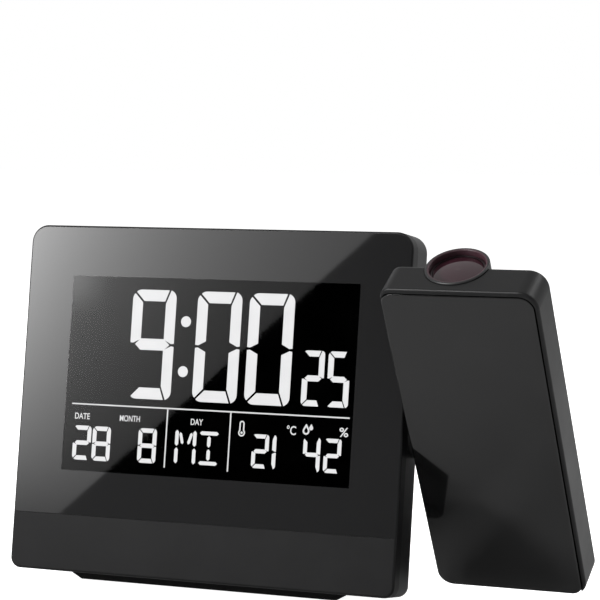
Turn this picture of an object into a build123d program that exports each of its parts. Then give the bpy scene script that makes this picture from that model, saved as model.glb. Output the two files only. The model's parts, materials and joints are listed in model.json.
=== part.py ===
from build123d import *
from math import cos, pi, radians, sin, sqrt, tan
import os

os.makedirs("parts", exist_ok=True)

# ---------------------------------------------------------------------------
# Driving dimensions, in millimetres and degrees
# ---------------------------------------------------------------------------

# Clearances
fit = 0.1               # between pieces that locate each other
running = 0.05          # radial, between a shaft and its bush
free = 0.3              # between pieces that move past each other
past = 1.0              # how far a cut runs past the face where it leaves
merge = 0.5             # how far a form is sunk into what carries it
small_round = 0.5       # corners of small inner blocks
touch = 0.02            # between faces that lie on each other

# Clock body, a slab that leans back on its foot
body_width = 153.0
body_height = 128.5
body_depth = 16.6
body_lean = 8.9
body_lift = 4.6         # front lower edge above the table
top_corner = 6.5
low_corner = 4.0
front_round = 0.9
back_round = 2.5
wall = 1.8
frame_depth = 5.0       # how much of the slab's depth the front frame makes
lip_depth = 1.8         # how far the rear cover's lip reaches into the frame
lip_thick = 1.0

# Window pane and display stack, from the front backwards
window_rim = 1.2        # frame left round the pane
window_split = 20.9     # height of the pane's lower edge
window_thick = 1.5
face_skin = 1.5         # frame's face behind the pane
view_side = 19.0        # from the body's side to the visible display
view_sill = 16.5        # from the pane's lower edge up to the visible display
view_head = 18.8        # from the body's top down to it
lcd_border = 3.0        # display glass hidden round the visible part
lcd_gap = 0.25          # behind the pane
lcd_thick = 2.8
lcd_ledge = 5.0         # contact ledge along the display's lower edge
sheet_thick = 0.35
holder_wall = 2.5
holder_back = 1.0
strip_thick = 0.8
strip_inset = 2.0       # lamp strip ends short of the display's sides
lamp_tall = 1.2
lamp_wide = 3.0
lamp_count = 6
zebra_wide = 2.5
zebra_rise = 0.8        # contact strips above the display's lower edge
zebra_inset = 4.0       # and short of its sides
zebra_gap = 2.0

# Boards, switches and buttons
board_thick = 1.6
switch_side = 6.0
switch_tall = 2.5
plunger_radius = 1.6
plunger_tall = 0.4
screw_inset = 6.0       # board screws, in from the display's sides
notch_side = 13.0       # main board's notch for the hinge, in from the housing's side
notch_room = 3.0
chip_side = 14.0
chip_thick = 1.8
chip_across = 22.0      # left of the middle
chip_drop = 33.0        # below the row of buttons
radio_side = 14.0
radio_thick = 1.0
radio_across = 45.0     # left of the middle
radio_drop = 16.0
radio_can_wide = 6.0
radio_can_tall = 8.0
radio_can_thick = 1.2
crystal_radius = 1.5
crystal_length = 8.0
crystal_across = 4.0    # left of the middle
crystal_drop = 27.0
plug_inset = 16.0       # cable plug, in from the housing's side
plug_wide = 6.0
plug_tall = 8.0
plug_thick = 3.2
button_count = 6
button_pitch = 18.0
button_drop = 29.5      # below the slab's top
button_wide = 10.0
button_tall = 5.5
button_round = 2.0
button_flange = 0.8
button_edge = 0.4
flange_reach = 0.8      # beyond the button's opening
button_travel = 0.5
button_proud = 0.8
snooze_wide = 64.0
snooze_deep = 7.2
snooze_near = 6.2       # slot's front edge, behind the clock's front
snooze_lip = 1.0
snooze_lip_thick = 1.0
snooze_round = 2.3
snooze_post_inset = 8.0
snooze_travel = 0.8
snooze_post = 4.0
snooze_board_thick = 1.2
snooze_board_wide = 40.0

# Rear housing, a hollow block on the slab's back
housing_half = 58.0
housing_low = 8.0
housing_drop = 15.0     # housing's top below the row of buttons
housing_depth = 20.0
housing_corner = 6.0
housing_round = 4.0

# Battery bay, two AAA cells side by side
cell_radius = 5.25
cell_length = 44.5
cell_nub = 1.0
cell_nub_radius = 1.9
cell_gap = 0.5
bay_right = 2.0
bay_low = 32.0
bay_rim = 0.8           # wall beyond the door's recess
bay_floor_wall = 1.5
bay_floor_gap = 0.3
contact_room = 3.0      # for a spring or a plate at each end
contact_thick = 0.4
spring_wire = 0.35
spring_turns = 3
spring_radius = 2.6
plate_margin = 1.5      # contact plate smaller than a cell
stud_extra = 0.4        # contact stud wider than a cell's nub
door_thick = 1.7
door_ledge = 1.5        # door overlaps the bay's edge
door_pin_radius = 0.6
door_pin_length = 1.2
thumb_wide = 16.0       # thumb groove near the door's free edge
thumb_tall = 2.5
thumb_deep = 0.6

# Sockets, sounder, aerial and sensor
jack_across = 22.0
jack_height = 20.0
jack_side = 9.0
jack_long = 12.0
jack_nose = 4.0
jack_bore = 3.1
jack_pin = 1.0
jack_end = 2.0          # closed end of the socket
jack_recess = 0.3       # nose below the housing's back
buzzer_across = 30.0
buzzer_radius = 10.0
buzzer_tall = 6.0
buzzer_wall = 1.3
buzzer_hold = 3.0       # how deep its ring holds it
sound_radius = 0.8
sound_circle = 4.0
sound_count = 6
rod_radius = 3.5
rod_low = 38.0
rod_length = 60.0
coil_thick = 0.9
coil_length = 20.0
saddle_thick = 3.0
saddle_wall = 1.4
saddle_inset = 6.0      # in from the rod's ends
rod_back = 1.8          # rod in front of the slab's back wall
sensor_height = 24.0
sensor_side = 10.0
sensor_thick = 1.0
sensor_chip = 3.0
vent_count = 5
vent_pitch = 3.0
vent_tall = 1.2
vent_near = 3.5         # behind the frame's joint

# Screws
screw_radius = 1.15
head_radius = 2.3
head_tall = 1.6
column_wall = 1.1
column_seat = 3.6       # screw seat below the outer face
column_gap = 3.8        # between a corner column and the top or bottom wall
column_side = 1.2       # and between it and the holder
screw_bite = 2.0        # screw's point short of the hole's end

# Foot
foot_width = 110.0
foot_setback = 9.5      # behind the slab's front lower edge
foot_depth = 39.6
foot_tail = 2.5         # thickness at the rear edge
foot_round = 3.0
foot_slant = 3.8        # its ends lean in by this much, towards the underside
foot_slant_tall = 2.2
pad_proud = 0.3
pad_thick = 1.3
pad_wide = 12.0
pad_deep = 6.0
pad_inset = 4.0
foot_screw_across = 38.0
foot_column_tall = 17.0
foot_floor = 0.6        # foot's floor over a screw's head
pad_round = 1.8

# Projector arm, a flat block beside the body, hinged to its right side
arm_gap = 2.5
arm_width = 55.5
arm_length = 128.5
arm_depth = 15.25
arm_tilt = 29.7         # forward of upright, at rest
arm_wall = 1.6
arm_back = 1.8
arm_front_round = 1.0
arm_back_round = 2.0
arm_corner_left = 4.0
arm_corner_right = 6.5
arm_corner_low_right = 5.5
arm_corner_low_left = 5.5
panel_thick = 1.8
panel_groove = 0.5
rim_side = 1.2
rim_top = 1.6
panel_corner = 5.0
panel_round = 0.7
arm_screw_left = 6.5    # arm's screws, in from its four edges
arm_screw_right = 8.5
arm_screw_low = 9.0
arm_screw_high = 12.5

# Hinge
hinge_height = 58.9     # up both slabs
hinge_inset = 2.0       # in front of the common back planes
hub_radius = 9.5
hub_length = 16.0       # of the arm's hub, into the arm
hub_round = 3.0
hub_screw_radius = 0.9
hub_head_radius = 1.25
hub_head_tall = 0.9
hub_screw_start = 0.6    # screw's point inside the hub's face
boss_radius = 10.0
shaft_radius = 5.0
shaft_bore = 3.2
shaft_flange = 2.0
bush_wall = 1.5
bush_flange = 1.0
washer_thick = 1.2
spring_thick = 1.6
clip_thick = 1.2
clip_groove = 0.8
stack_extra = 1.2       # washers wider than the bush
dish_thick = 0.6
shaft_end = 0.9         # past the clip
cable_radius = 1.3
cable_lift = 0.3        # above the board it leaves
cable_start = 5.0       # straight out of the plug
cable_bend = 8.0        # then over to the hinge's middle
cable_offset = 2.0      # beside the lens's axis, where it climbs to the lamp

# Projector optics, along the arm's length at its back
lens_across = 23.8      # from the arm's left side
lens_setback = 0.45     # axis in front of the arm's back plane
ring_radius = 11.2
ring_bore = 9.7
ring_length = 9.5
ring_proud = 0.5
ring_grips = 30
ring_round = 0.5
grip_radius = 0.6
grip_out = 0.25         # grips' centres outside the ring
collar_wall = 1.2
barrel_rise = 7.1       # barrel's foot above the hinge
barrel_wall = 1.5
barrel_round = 6.0
tube_rise = 8.0         # tube's foot above the barrel's
tube_wall = 0.75
tube_sink = 5.0         # tube's end below the arm's end face
bead_proud = 0.6        # snap bead that holds the ring
bead_rise = 1.4
bead_tall = 0.8
band_tall = 2.0         # tube's two bands that fit the barrel
band_drop = 3.0
ledge_tall = 1.2
ledge_deep = 1.6
carrier_length = 10.0
carrier_wall = 0.85
focus_travel = 1.0      # each way
crown_wall = 0.5        # carrier's wide head, which holds the lens above the tube
crown_floor = 0.6
crown_rim = 0.3         # beyond the lens's edge
lens_sag = 1.0
lens_edge = 1.3
led_board_thick = 1.6
led_side = 5.0
led_base_tall = 1.5
led_dome_radius = 1.9
led_dome_tall = 1.5
led_dome_round = 1.2
film_rise = 20.0        # projection display above the tube's foot
film_side = 12.4
film_thick = 1.5
condenser_rise = 10.0   # condenser above the tube's foot
condenser_edge = 1.5
condenser_sag = 2.5

# ---------------------------------------------------------------------------
# Places worked out from the driving dimensions
# ---------------------------------------------------------------------------

lean = radians(body_lean)
tilt = radians(arm_tilt)
body_half = body_width / 2

# Sketch planes: x to the right, y up the slab, z out of the front
FRONT = Plane(
    origin=(0, -(foot_setback + foot_depth / 2), body_lift),
    x_dir=(1, 0, 0),
    z_dir=(0, -cos(lean), sin(lean)),
)
# Sections across the slab: y is depth in the first, height in the second
TOP = Plane(origin=FRONT.origin, x_dir=(1, 0, 0), z_dir=FRONT.y_dir)
ACROSS = Plane(origin=FRONT.origin, x_dir=FRONT.y_dir, z_dir=(1, 0, 0))
pivot = FRONT.from_local_coords(Vector(0, hinge_height, hinge_inset - body_depth))
arm_left = body_half + arm_gap
arm_up = Vector(0, -sin(tilt), cos(tilt))
arm_backward = Vector(0, cos(tilt), sin(tilt))
arm_corner = pivot - arm_up * hinge_height - arm_backward * (arm_depth - hinge_inset)
ARM = Plane(
    origin=(arm_left, arm_corner.Y, arm_corner.Z),
    x_dir=(1, 0, 0),
    z_dir=(0, -cos(tilt), -sin(tilt)),
)
# The hinge's plane has z along the hinge axis; the lens's, up the arm
HINGE = Plane(origin=(0, pivot.Y, pivot.Z), x_dir=(0, 1, 0), z_dir=(1, 0, 0))
HINGE_SECTION = Plane(origin=HINGE.origin, x_dir=(1, 0, 0), z_dir=(0, -1, 0))
hinge_axis = Axis(HINGE.origin, (1, 0, 0))
lens_foot = ARM.from_local_coords(Vector(lens_across, 0, lens_setback - arm_depth))
LENS = Plane(origin=lens_foot, x_dir=(1, 0, 0), z_dir=arm_up)
LENS_SECTION = Plane(origin=lens_foot, x_dir=(1, 0, 0), z_dir=ARM.z_dir)
lens_axis = Axis(lens_foot, arm_up)
facing = Axis((0, 0, 0), FRONT.z_dir)
arm_facing = Axis((0, 0, 0), ARM.z_dir)

# Depths behind the clock's front; the light guide fills the depth that is left
inner_far = body_depth - wall
flange_far = inner_far - running
switch_far = flange_far - button_flange - button_travel - fit
board_far = switch_far - switch_tall
holder_far = board_far - board_thick
sheet_far = holder_far - holder_back - fit
guide_far = sheet_far - sheet_thick
skin_far = window_thick + face_skin
lcd_near = window_thick + lcd_gap
lcd_middle = lcd_near + lcd_thick / 2
lcd_far = lcd_near + lcd_thick
housing_far = body_depth + housing_depth
housing_inner = housing_far - wall
frame_boss_far = holder_far + fit

# Display, and the holder round it
view_low = window_split + view_sill
view_high = body_height - view_head
lcd_right = body_half - view_side + lcd_border
lcd_low = view_low - lcd_border
lcd_high = view_high + lcd_border
holder_right = lcd_right + free + holder_wall
holder_low = lcd_low - free - holder_wall - column_wall
holder_high = lcd_high + free + holder_wall + column_wall
guide_low = lcd_low + lcd_ledge + fit
guide_high = lcd_high - strip_thick - lamp_tall - 2 * fit
guide_right = lcd_right - fit
zebra_low = lcd_low + zebra_rise
zebra_high = zebra_low + zebra_wide
zebra_right = lcd_right - zebra_inset
strip_right = lcd_right - strip_inset
inner_side = body_half - wall
inner_top = body_height - wall

# Case screws stand in the corners, beside the holder
column_radius = head_radius + fit + column_wall
column_across = holder_right + column_radius + fit + column_side
column_low = wall + column_radius + column_gap
column_high = inner_top - column_radius - column_gap
frame_column_radius = column_radius - stud_extra
corner_spots = [(side * column_across, y) for side in (-1, 1) for y in (column_low, column_high)]
board_edge = (holder_wall + column_wall + fit) / 2
board_spots = [
    (side * (lcd_right - screw_inset), y)
    for side in (-1, 1)
    for y in (holder_low + board_edge, holder_high - board_edge)
]

plug_right = housing_half - plug_inset

# Aerial, in the gap left of the holder
rod_across = -(holder_right + inner_side) / 2
rod_high = rod_low + rod_length
rod_depth = inner_far - rod_radius - rod_back
coil_radius = rod_radius + fit + coil_thick

# Hinge stations along x, from the arm inwards
shaft_tip = holder_right + past
clip_left = shaft_tip + shaft_end
spring_left = clip_left + clip_thick + fit
washer_left = spring_left + spring_thick + fit
bush_left = washer_left + washer_thick + fit
bush_radius = shaft_radius + running + bush_wall
bush_face = body_half + bush_flange
hub_face = bush_face + fit
stack_radius = bush_radius + stack_extra
boss_hollow = stack_radius + free + fit
hub_hollow = hub_radius - arm_wall
flange_radius = hub_hollow - fit
flange_left = arm_left + arm_wall + fit

# Battery bay and housing
button_height = body_height - button_drop
chip_height = button_height - chip_drop
radio_height = button_height - radio_drop
crystal_height = button_height - crystal_drop
housing_high = button_height - housing_drop
bay_wall = door_ledge + free + bay_rim
bay_height = 4 * cell_radius + 3 * cell_gap
bay_left = bay_right - cell_length - 2 * contact_room
bay_high = bay_low + bay_height
door_near = housing_far - door_thick
bay_floor = door_near - fit - 2 * cell_radius - bay_floor_gap - cell_gap
cell_depth = bay_floor + bay_floor_gap + cell_radius
cell_rows = [bay_low + cell_gap + cell_radius, bay_high - cell_gap - cell_radius]
door_left = bay_left - door_ledge
door_right = bay_right + door_ledge
door_low = bay_low - door_ledge
door_high = bay_high + door_ledge
door_edge = door_thick / 2
door_pivot = FRONT.from_local_coords(Vector(0, door_low + door_edge, -(door_near + door_edge)))
DOOR_HINGE = Plane(origin=(0, door_pivot.Y, door_pivot.Z), x_dir=(0, 1, 0), z_dir=(1, 0, 0))

# Buttons and snooze bar
button_middle = (button_count - 1) / 2
button_spots = [((i - button_middle) * button_pitch, button_height) for i in range(button_count)]
half_switch = switch_side / 2
snooze_half = snooze_wide / 2
snooze_far = snooze_near + snooze_deep
snooze_board_top = holder_high + fit + snooze_board_thick
snooze_switch_top = snooze_board_top + switch_tall
snooze_lip_top = inner_top - running
snooze_middle = (snooze_near + snooze_far) / 2
snooze_post_across = snooze_half - snooze_post_inset

# Projector stations along the lens axis, measured up the arm
ring_low = arm_length + ring_proud - ring_length
pocket_low = ring_low - free
pocket_radius = ring_radius + free
collar_radius = pocket_radius + collar_wall
barrel_low = hinge_height + barrel_rise
tube_low = barrel_low + tube_rise
condenser_height = tube_low + condenser_rise
film_height = tube_low + film_rise
tube_high = arm_length - tube_sink
tube_radius = ring_bore - fit
tube_bore = tube_radius - tube_wall
carrier_radius = tube_bore - fit
crown_low = tube_high + focus_travel + free
crown_radius = ring_bore - free
carrier_bore = carrier_radius - carrier_wall
barrel_bore = ring_radius - barrel_wall
seat_radius = barrel_bore - fit
bead_low = ring_low + bead_rise

# Foot screws run straight up into the housing's floor
foot_low = pad_proud
foot_screw_y = FRONT.from_local_coords(
    Vector(0, housing_low, -(body_depth + housing_depth / 2))
).Y
foot_seat = foot_low + head_tall + foot_floor
foot_column_high = foot_low + foot_column_tall
foot_column_low = FRONT.from_local_coords(
    Vector(0, housing_low + wall / 2, -(body_depth + housing_depth / 2))
).Z
foot_spots = [(-foot_screw_across, foot_screw_y), (foot_screw_across, foot_screw_y)]
pad_across = foot_width / 2 - foot_slant - pad_inset - pad_wide / 2
pad_back = foot_depth / 2 - pad_inset - pad_deep / 2
pad_spots = [(sx * pad_across, sy * pad_back) for sx in (-1, 1) for sy in (-1, 1)]

# Small spots and radii of the sockets, the hinge and the arm
jack_spot = [(jack_across, jack_height)]
buzzer_spot = (buzzer_across, (jack_height + housing_high) / 2)
hub_circle = (shaft_radius + flange_radius) / 2
hub_turns = [pi / 2 + i * 2 * pi / 3 for i in range(3)]
hub_spots = [(hub_circle * cos(turn), hub_circle * sin(turn)) for turn in hub_turns]
arm_boss_far = arm_depth / 2
arm_spots = [
    (x, y)
    for x in (arm_screw_left, arm_width - arm_screw_right)
    for y in (arm_screw_low, arm_length - arm_screw_high)
]
lens_low = crown_low + crown_floor
crown_high = lens_low + lens_edge + crown_rim
lens_radius = crown_radius - crown_wall - fit


def side_point(height, depth):
    """Place (y, z) of a point of the slab's side view."""
    spot = FRONT.from_local_coords(Vector(0, height, -depth))
    return (spot.Y, spot.Z)


# ---------------------------------------------------------------------------
# Shapes that repeat
# ---------------------------------------------------------------------------

def plate(plane, near, far, left, right, low, high, radii=0, mode=Mode.ADD):
    """Add a block from depth near to depth far behind a plane, its corner
    radii given from the low left corner round to the right."""
    with BuildSketch(plane.offset(-far)) as face:
        with BuildLine():
            FilletPolyline((left, low), (right, low), (right, high), (left, high), radius=radii, close=True)
        make_face()
    extrude(face.sketch, amount=far - near, mode=mode)


def peg(plane, near, far, radius, spots, mode=Mode.ADD):
    """Add round pegs from depth near to depth far behind a plane."""
    rod(plane, -far, -near, radius, spots, mode)


def rod(plane, start, end, radius, spots=((0, 0),), mode=Mode.ADD):
    """Add round rods along a plane's normal, from start to end."""
    with BuildSketch(plane.offset(start)) as face:
        with Locations(*spots):
            Circle(radius)
    extrude(face.sketch, amount=end - start, mode=mode)


def tube(plane, start, end, outer, inner, spot=(0, 0), mode=Mode.ADD):
    """Add a tube along a plane's normal, from start to end."""
    with BuildSketch(plane.offset(start)) as face:
        with Locations(spot):
            Circle(outer)
            Circle(inner, mode=Mode.SUBTRACT)
    extrude(face.sketch, amount=end - start, mode=mode)


def screws(plane, seat, tip, spots):
    """Add pan-head screws whose heads lie behind depth seat and whose
    points lie at depth tip."""
    peg(plane, seat, seat + head_tall, head_radius, spots)
    peg(plane, tip, seat, screw_radius, spots)


def body_block(near, far, inset, mode=Mode.ADD):
    """Add a block of the clock's outline, drawn in by inset."""
    low = max(low_corner - inset, small_round)
    top = max(top_corner - inset, small_round)
    plate(
        FRONT, near, far,
        -body_half + inset, body_half - inset, inset, body_height - inset,
        (low, low, top, top), mode,
    )


def body_ring(near, far, outer, inner, mode=Mode.ADD):
    """Add a ring between two insets of the clock's outline."""
    with BuildSketch(FRONT.offset(-far)) as face:
        with Locations((0, body_height / 2)):
            RectangleRounded(body_width - 2 * outer, body_height - 2 * outer, top_corner - outer)
            RectangleRounded(
                body_width - 2 * inner, body_height - 2 * inner, top_corner - inner, mode=Mode.SUBTRACT,
            )
    extrude(face.sketch, amount=far - near, mode=mode)


def arm_block(near, far, inset, mode=Mode.ADD):
    """Add a block of the arm's outline, drawn in by inset."""
    corners = (arm_corner_low_left, arm_corner_low_right, arm_corner_right, arm_corner_left)
    plate(
        ARM, near, far,
        inset, arm_width - inset, inset, arm_length - inset,
        [max(corner - inset, small_round) for corner in corners], mode,
    )


def panel_block(near, far, grow, mode=Mode.ADD):
    """Add a block of the arm's front panel, grown by grow all round."""
    low_right = arm_corner_low_right - rim_side - panel_groove / 2
    corners = (arm_corner_low_left, low_right, panel_corner, arm_corner_left)
    plate(
        ARM, near, far,
        -grow, arm_width - rim_side - panel_groove + grow,
        -grow, arm_length - rim_top - panel_groove + grow,
        [corner + grow for corner in corners], mode,
    )


def bend_radii(points):
    """Radius at each inner point of a cable's route: 0.45 of the shorter
    run over the tangent of half the turn."""
    radii = []
    for before, here, after in zip(points, points[1:], points[2:]):
        turn = radians((here - before).get_angle(after - here))
        shorter = min((here - before).length, (after - here).length)
        radii.append(0.45 * shorter / tan(turn / 2))
    return radii


def plano_convex(radius, low, edge, sag):
    """Half section of a lens that is flat below and bulges above: a wall
    of height edge at the rim, and an arc that rises by sag to the axis."""
    curve = (radius**2 + sag**2) / (2 * sag)
    crown = low + edge + sag
    middle = crown - curve + sqrt(curve**2 - (radius / 2) ** 2)
    ThreePointArc((0, crown), (radius / 2, middle), (radius, low + edge))
    Polyline((radius, low + edge), (radius, low), (0, low), (0, crown))


# ---------------------------------------------------------------------------
# Clock body
# ---------------------------------------------------------------------------

with BuildPart() as front_frame:
    body_block(0, frame_depth, 0)
    fillet(front_frame.faces().sort_by(facing)[-1].edges(), radius=front_round)
    body_block(skin_far, frame_depth + past, wall, Mode.SUBTRACT)
    # Recess for the pane, and the display's opening behind it
    pane_top = top_corner - window_rim
    plate(
        FRONT, -past, window_thick,
        -body_half + window_rim, body_half - window_rim, window_split, body_height - window_rim,
        (small_round, small_round, pane_top, pane_top), Mode.SUBTRACT,
    )
    plate(
        FRONT, 0, frame_depth,
        -lcd_right - free, lcd_right + free, lcd_low - free, lcd_high + free, small_round, Mode.SUBTRACT,
    )
    peg(FRONT, skin_far - merge, frame_boss_far, frame_column_radius, corner_spots)
    peg(FRONT, skin_far + past, frame_boss_far + past, screw_radius + fit, corner_spots, Mode.SUBTRACT)
front_frame.part.label = "front_frame"
export_step(front_frame.part, "parts/front_frame.step")

with BuildPart() as display_window:
    plate(
        FRONT, 0, window_thick - touch,
        -body_half + window_rim + fit, body_half - window_rim - fit,
        window_split + fit, body_height - window_rim - fit,
        (small_round - fit, small_round - fit, pane_top - fit, pane_top - fit),
    )
display_window.part.label = "display_window"
export_step(display_window.part, "parts/display_window.step")

with BuildPart() as lcd_cell:
    # The front glass is longer than the rear one, which leaves a ledge
    plate(FRONT, lcd_near, lcd_middle, -lcd_right, lcd_right, lcd_low, lcd_high)
    plate(FRONT, lcd_middle, lcd_far, -lcd_right, lcd_right, lcd_low + lcd_ledge, lcd_high)
lcd_cell.part.label = "lcd_cell"
export_step(lcd_cell.part, "parts/lcd_cell.step")

with BuildPart() as lcd_holder:
    plate(FRONT, skin_far, holder_far, -holder_right, holder_right, holder_low, holder_high, 2 * small_round)
    plate(
        FRONT, skin_far - past, holder_far - holder_back,
        -lcd_right - free, lcd_right + free, lcd_low - free, lcd_high + free, small_round, Mode.SUBTRACT,
    )
    # Slot through which the contact strips reach the main board
    plate(
        FRONT, skin_far, holder_far + past,
        -zebra_right - free, zebra_right + free, zebra_low - free, zebra_high + free,
        0, Mode.SUBTRACT,
    )
    peg(FRONT, skin_far + past, holder_far + past, screw_radius + fit, board_spots, Mode.SUBTRACT)
lcd_holder.part.label = "lcd_holder"
export_step(lcd_holder.part, "parts/lcd_holder.step")

with BuildPart() as light_guide:
    plate(FRONT, lcd_far + touch, guide_far, -guide_right, guide_right, guide_low, guide_high, small_round)
light_guide.part.label = "light_guide"
export_step(light_guide.part, "parts/light_guide.step")

with BuildPart() as reflector_sheet:
    plate(FRONT, guide_far, sheet_far, -guide_right, guide_right, guide_low, guide_high, small_round)
reflector_sheet.part.label = "reflector_sheet"
export_step(reflector_sheet.part, "parts/reflector_sheet.step")

with BuildPart() as led_strip:
    # A strip of board above the light guide, its lamps facing down into it
    plate(
        FRONT, lcd_far + fit, guide_far,
        -strip_right, strip_right, lcd_high - strip_thick, lcd_high,
    )
    lamp_pitch = 2 * strip_right / lamp_count
    for i in range(lamp_count):
        lamp_middle = (i - (lamp_count - 1) / 2) * lamp_pitch
        plate(
            FRONT, lcd_far + free, guide_far - free,
            lamp_middle - lamp_wide / 2, lamp_middle + lamp_wide / 2,
            lcd_high - strip_thick - lamp_tall, lcd_high - strip_thick,
        )
led_strip.part.label = "led_strip"
export_step(led_strip.part, "parts/led_strip.step")

with BuildPart() as contact_strips:
    # Two rubber strips of fine wires, from the display's ledge to the board
    for left, right in ((-zebra_right, -zebra_gap / 2), (zebra_gap / 2, zebra_right)):
        plate(FRONT, lcd_middle, holder_far, left, right, zebra_low, zebra_high)
contact_strips.part.label = "contact_strips"
export_step(contact_strips.part, "parts/contact_strips.step")

with BuildPart() as main_board:
    plate(FRONT, holder_far, board_far, -lcd_right, lcd_right, holder_low, holder_high, 2 * small_round)
    # Notch that clears the hinge, and the screw holes
    plate(
        FRONT, holder_far - past, board_far + past,
        housing_half - notch_side, lcd_right + past,
        hinge_height - boss_radius - notch_room, hinge_height + boss_radius + notch_room, 0, Mode.SUBTRACT,
    )
    peg(FRONT, holder_far - past, board_far + past, screw_radius + fit, board_spots, Mode.SUBTRACT)
main_board.part.label = "main_board"
export_step(main_board.part, "parts/main_board.step")

with BuildPart() as board_screws:
    screws(FRONT, board_far, skin_far + screw_bite, board_spots)
board_screws.part.label = "board_screws"
export_step(board_screws.part, "parts/board_screws.step")

with BuildPart() as processor:
    plate(
        FRONT, board_far, board_far + chip_thick,
        -chip_across - chip_side / 2, -chip_across + chip_side / 2,
        chip_height - chip_side / 2, chip_height + chip_side / 2, small_round,
    )
processor.part.label = "processor"
export_step(processor.part, "parts/processor.step")

with BuildPart() as radio_module:
    # A small board of its own, with a shielding can on it
    radio_far = board_far + radio_thick
    plate(
        FRONT, board_far, radio_far,
        -radio_across - radio_side / 2, -radio_across + radio_side / 2,
        radio_height - radio_side / 2, radio_height + radio_side / 2,
    )
    plate(
        FRONT, radio_far, radio_far + radio_can_thick,
        -radio_across - radio_can_wide / 2, -radio_across + radio_can_wide / 2,
        radio_height - radio_can_tall / 2, radio_height + radio_can_tall / 2,
    )
radio_module.part.label = "radio_module"
export_step(radio_module.part, "parts/radio_module.step")

with BuildPart() as quartz_crystal:
    # A small metal can lying on the board
    rod(
        TOP, crystal_height, crystal_height + crystal_length, crystal_radius,
        [(-crystal_across, board_far + crystal_radius)],
    )
quartz_crystal.part.label = "quartz_crystal"
export_step(quartz_crystal.part, "parts/quartz_crystal.step")

with BuildPart() as cable_plug:
    plate(
        FRONT, board_far, board_far + plug_thick,
        plug_right - plug_wide, plug_right,
        hinge_height - plug_tall / 2, hinge_height + plug_tall / 2, small_round,
    )
cable_plug.part.label = "cable_plug"
export_step(cable_plug.part, "parts/cable_plug.step")

with BuildPart() as button_switches:
    for x, y in button_spots:
        plate(
            FRONT, board_far, switch_far - plunger_tall,
            x - half_switch, x + half_switch, y - half_switch, y + half_switch, small_round,
        )
    peg(FRONT, switch_far - plunger_tall, switch_far, plunger_radius, button_spots)
button_switches.part.label = "button_switches"
export_step(button_switches.part, "parts/button_switches.step")

with BuildPart() as snooze_board:
    with BuildSketch(TOP.offset(holder_high + fit)) as board_face:
        with Locations((0, snooze_middle)):
            Rectangle(snooze_board_wide, snooze_deep - 2 * snooze_lip)
    extrude(board_face.sketch, amount=snooze_board_thick)
snooze_board.part.label = "snooze_board"
export_step(snooze_board.part, "parts/snooze_board.step")

with BuildPart() as snooze_switch:
    with BuildSketch(TOP.offset(snooze_board_top)) as switch_face:
        with Locations((0, snooze_middle)):
            Rectangle(switch_side, snooze_deep - 2 * snooze_lip)
    extrude(switch_face.sketch, amount=switch_tall - plunger_tall)
    rod(TOP, snooze_switch_top - plunger_tall, snooze_switch_top, plunger_radius, [(0, snooze_middle)])
snooze_switch.part.label = "snooze_switch"
export_step(snooze_switch.part, "parts/snooze_switch.step")

with BuildPart() as snooze_bar:
    with BuildSketch(TOP.offset(snooze_lip_top)) as cap_face:
        with Locations((0, snooze_middle)):
            RectangleRounded(snooze_wide - 2 * free, snooze_deep - 2 * free, snooze_round - free)
    extrude(cap_face.sketch, amount=body_height - snooze_lip_top)
    with BuildSketch(TOP.offset(snooze_lip_top)) as lip_face:
        with Locations((0, snooze_middle)):
            Rectangle(snooze_wide + 2 * snooze_lip, snooze_deep + 2 * snooze_lip - free)
    extrude(lip_face.sketch, amount=-snooze_lip_thick)
    # Posts: the middle one presses the switch, the outer ones guide
    for post in (-snooze_post_across, 0, snooze_post_across):
        with BuildSketch(TOP.offset(snooze_switch_top + snooze_travel + fit)) as post_face:
            with Locations((post, snooze_middle)):
                Rectangle(snooze_post, snooze_post)
        extrude(post_face.sketch, until=Until.NEXT)
snooze_bar.part.label = "snooze_bar"
export_step(snooze_bar.part, "parts/snooze_bar.step")

button_names = ["alarm", "set", "minus", "plus", "light", "projector"]
for name, (x, y) in zip(button_names, button_spots):
    with BuildPart() as button:
        half_wide = button_wide / 2 - free
        half_tall = button_tall / 2 - free
        plate(
            FRONT, flange_far - fit, body_depth + button_proud,
            x - half_wide, x + half_wide, y - half_tall, y + half_tall, button_round - free,
        )
        fillet(button.faces().sort_by(facing)[0].edges(), radius=button_edge)
        plate(
            FRONT, flange_far - button_flange, flange_far,
            x - button_wide / 2 - flange_reach, x + button_wide / 2 + flange_reach,
            y - button_tall / 2 - flange_reach, y + button_tall / 2 + flange_reach, 2 * small_round,
        )
    button.part.label = f"{name}_button"
    export_step(button.part, f"parts/{name}_button.step")

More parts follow.
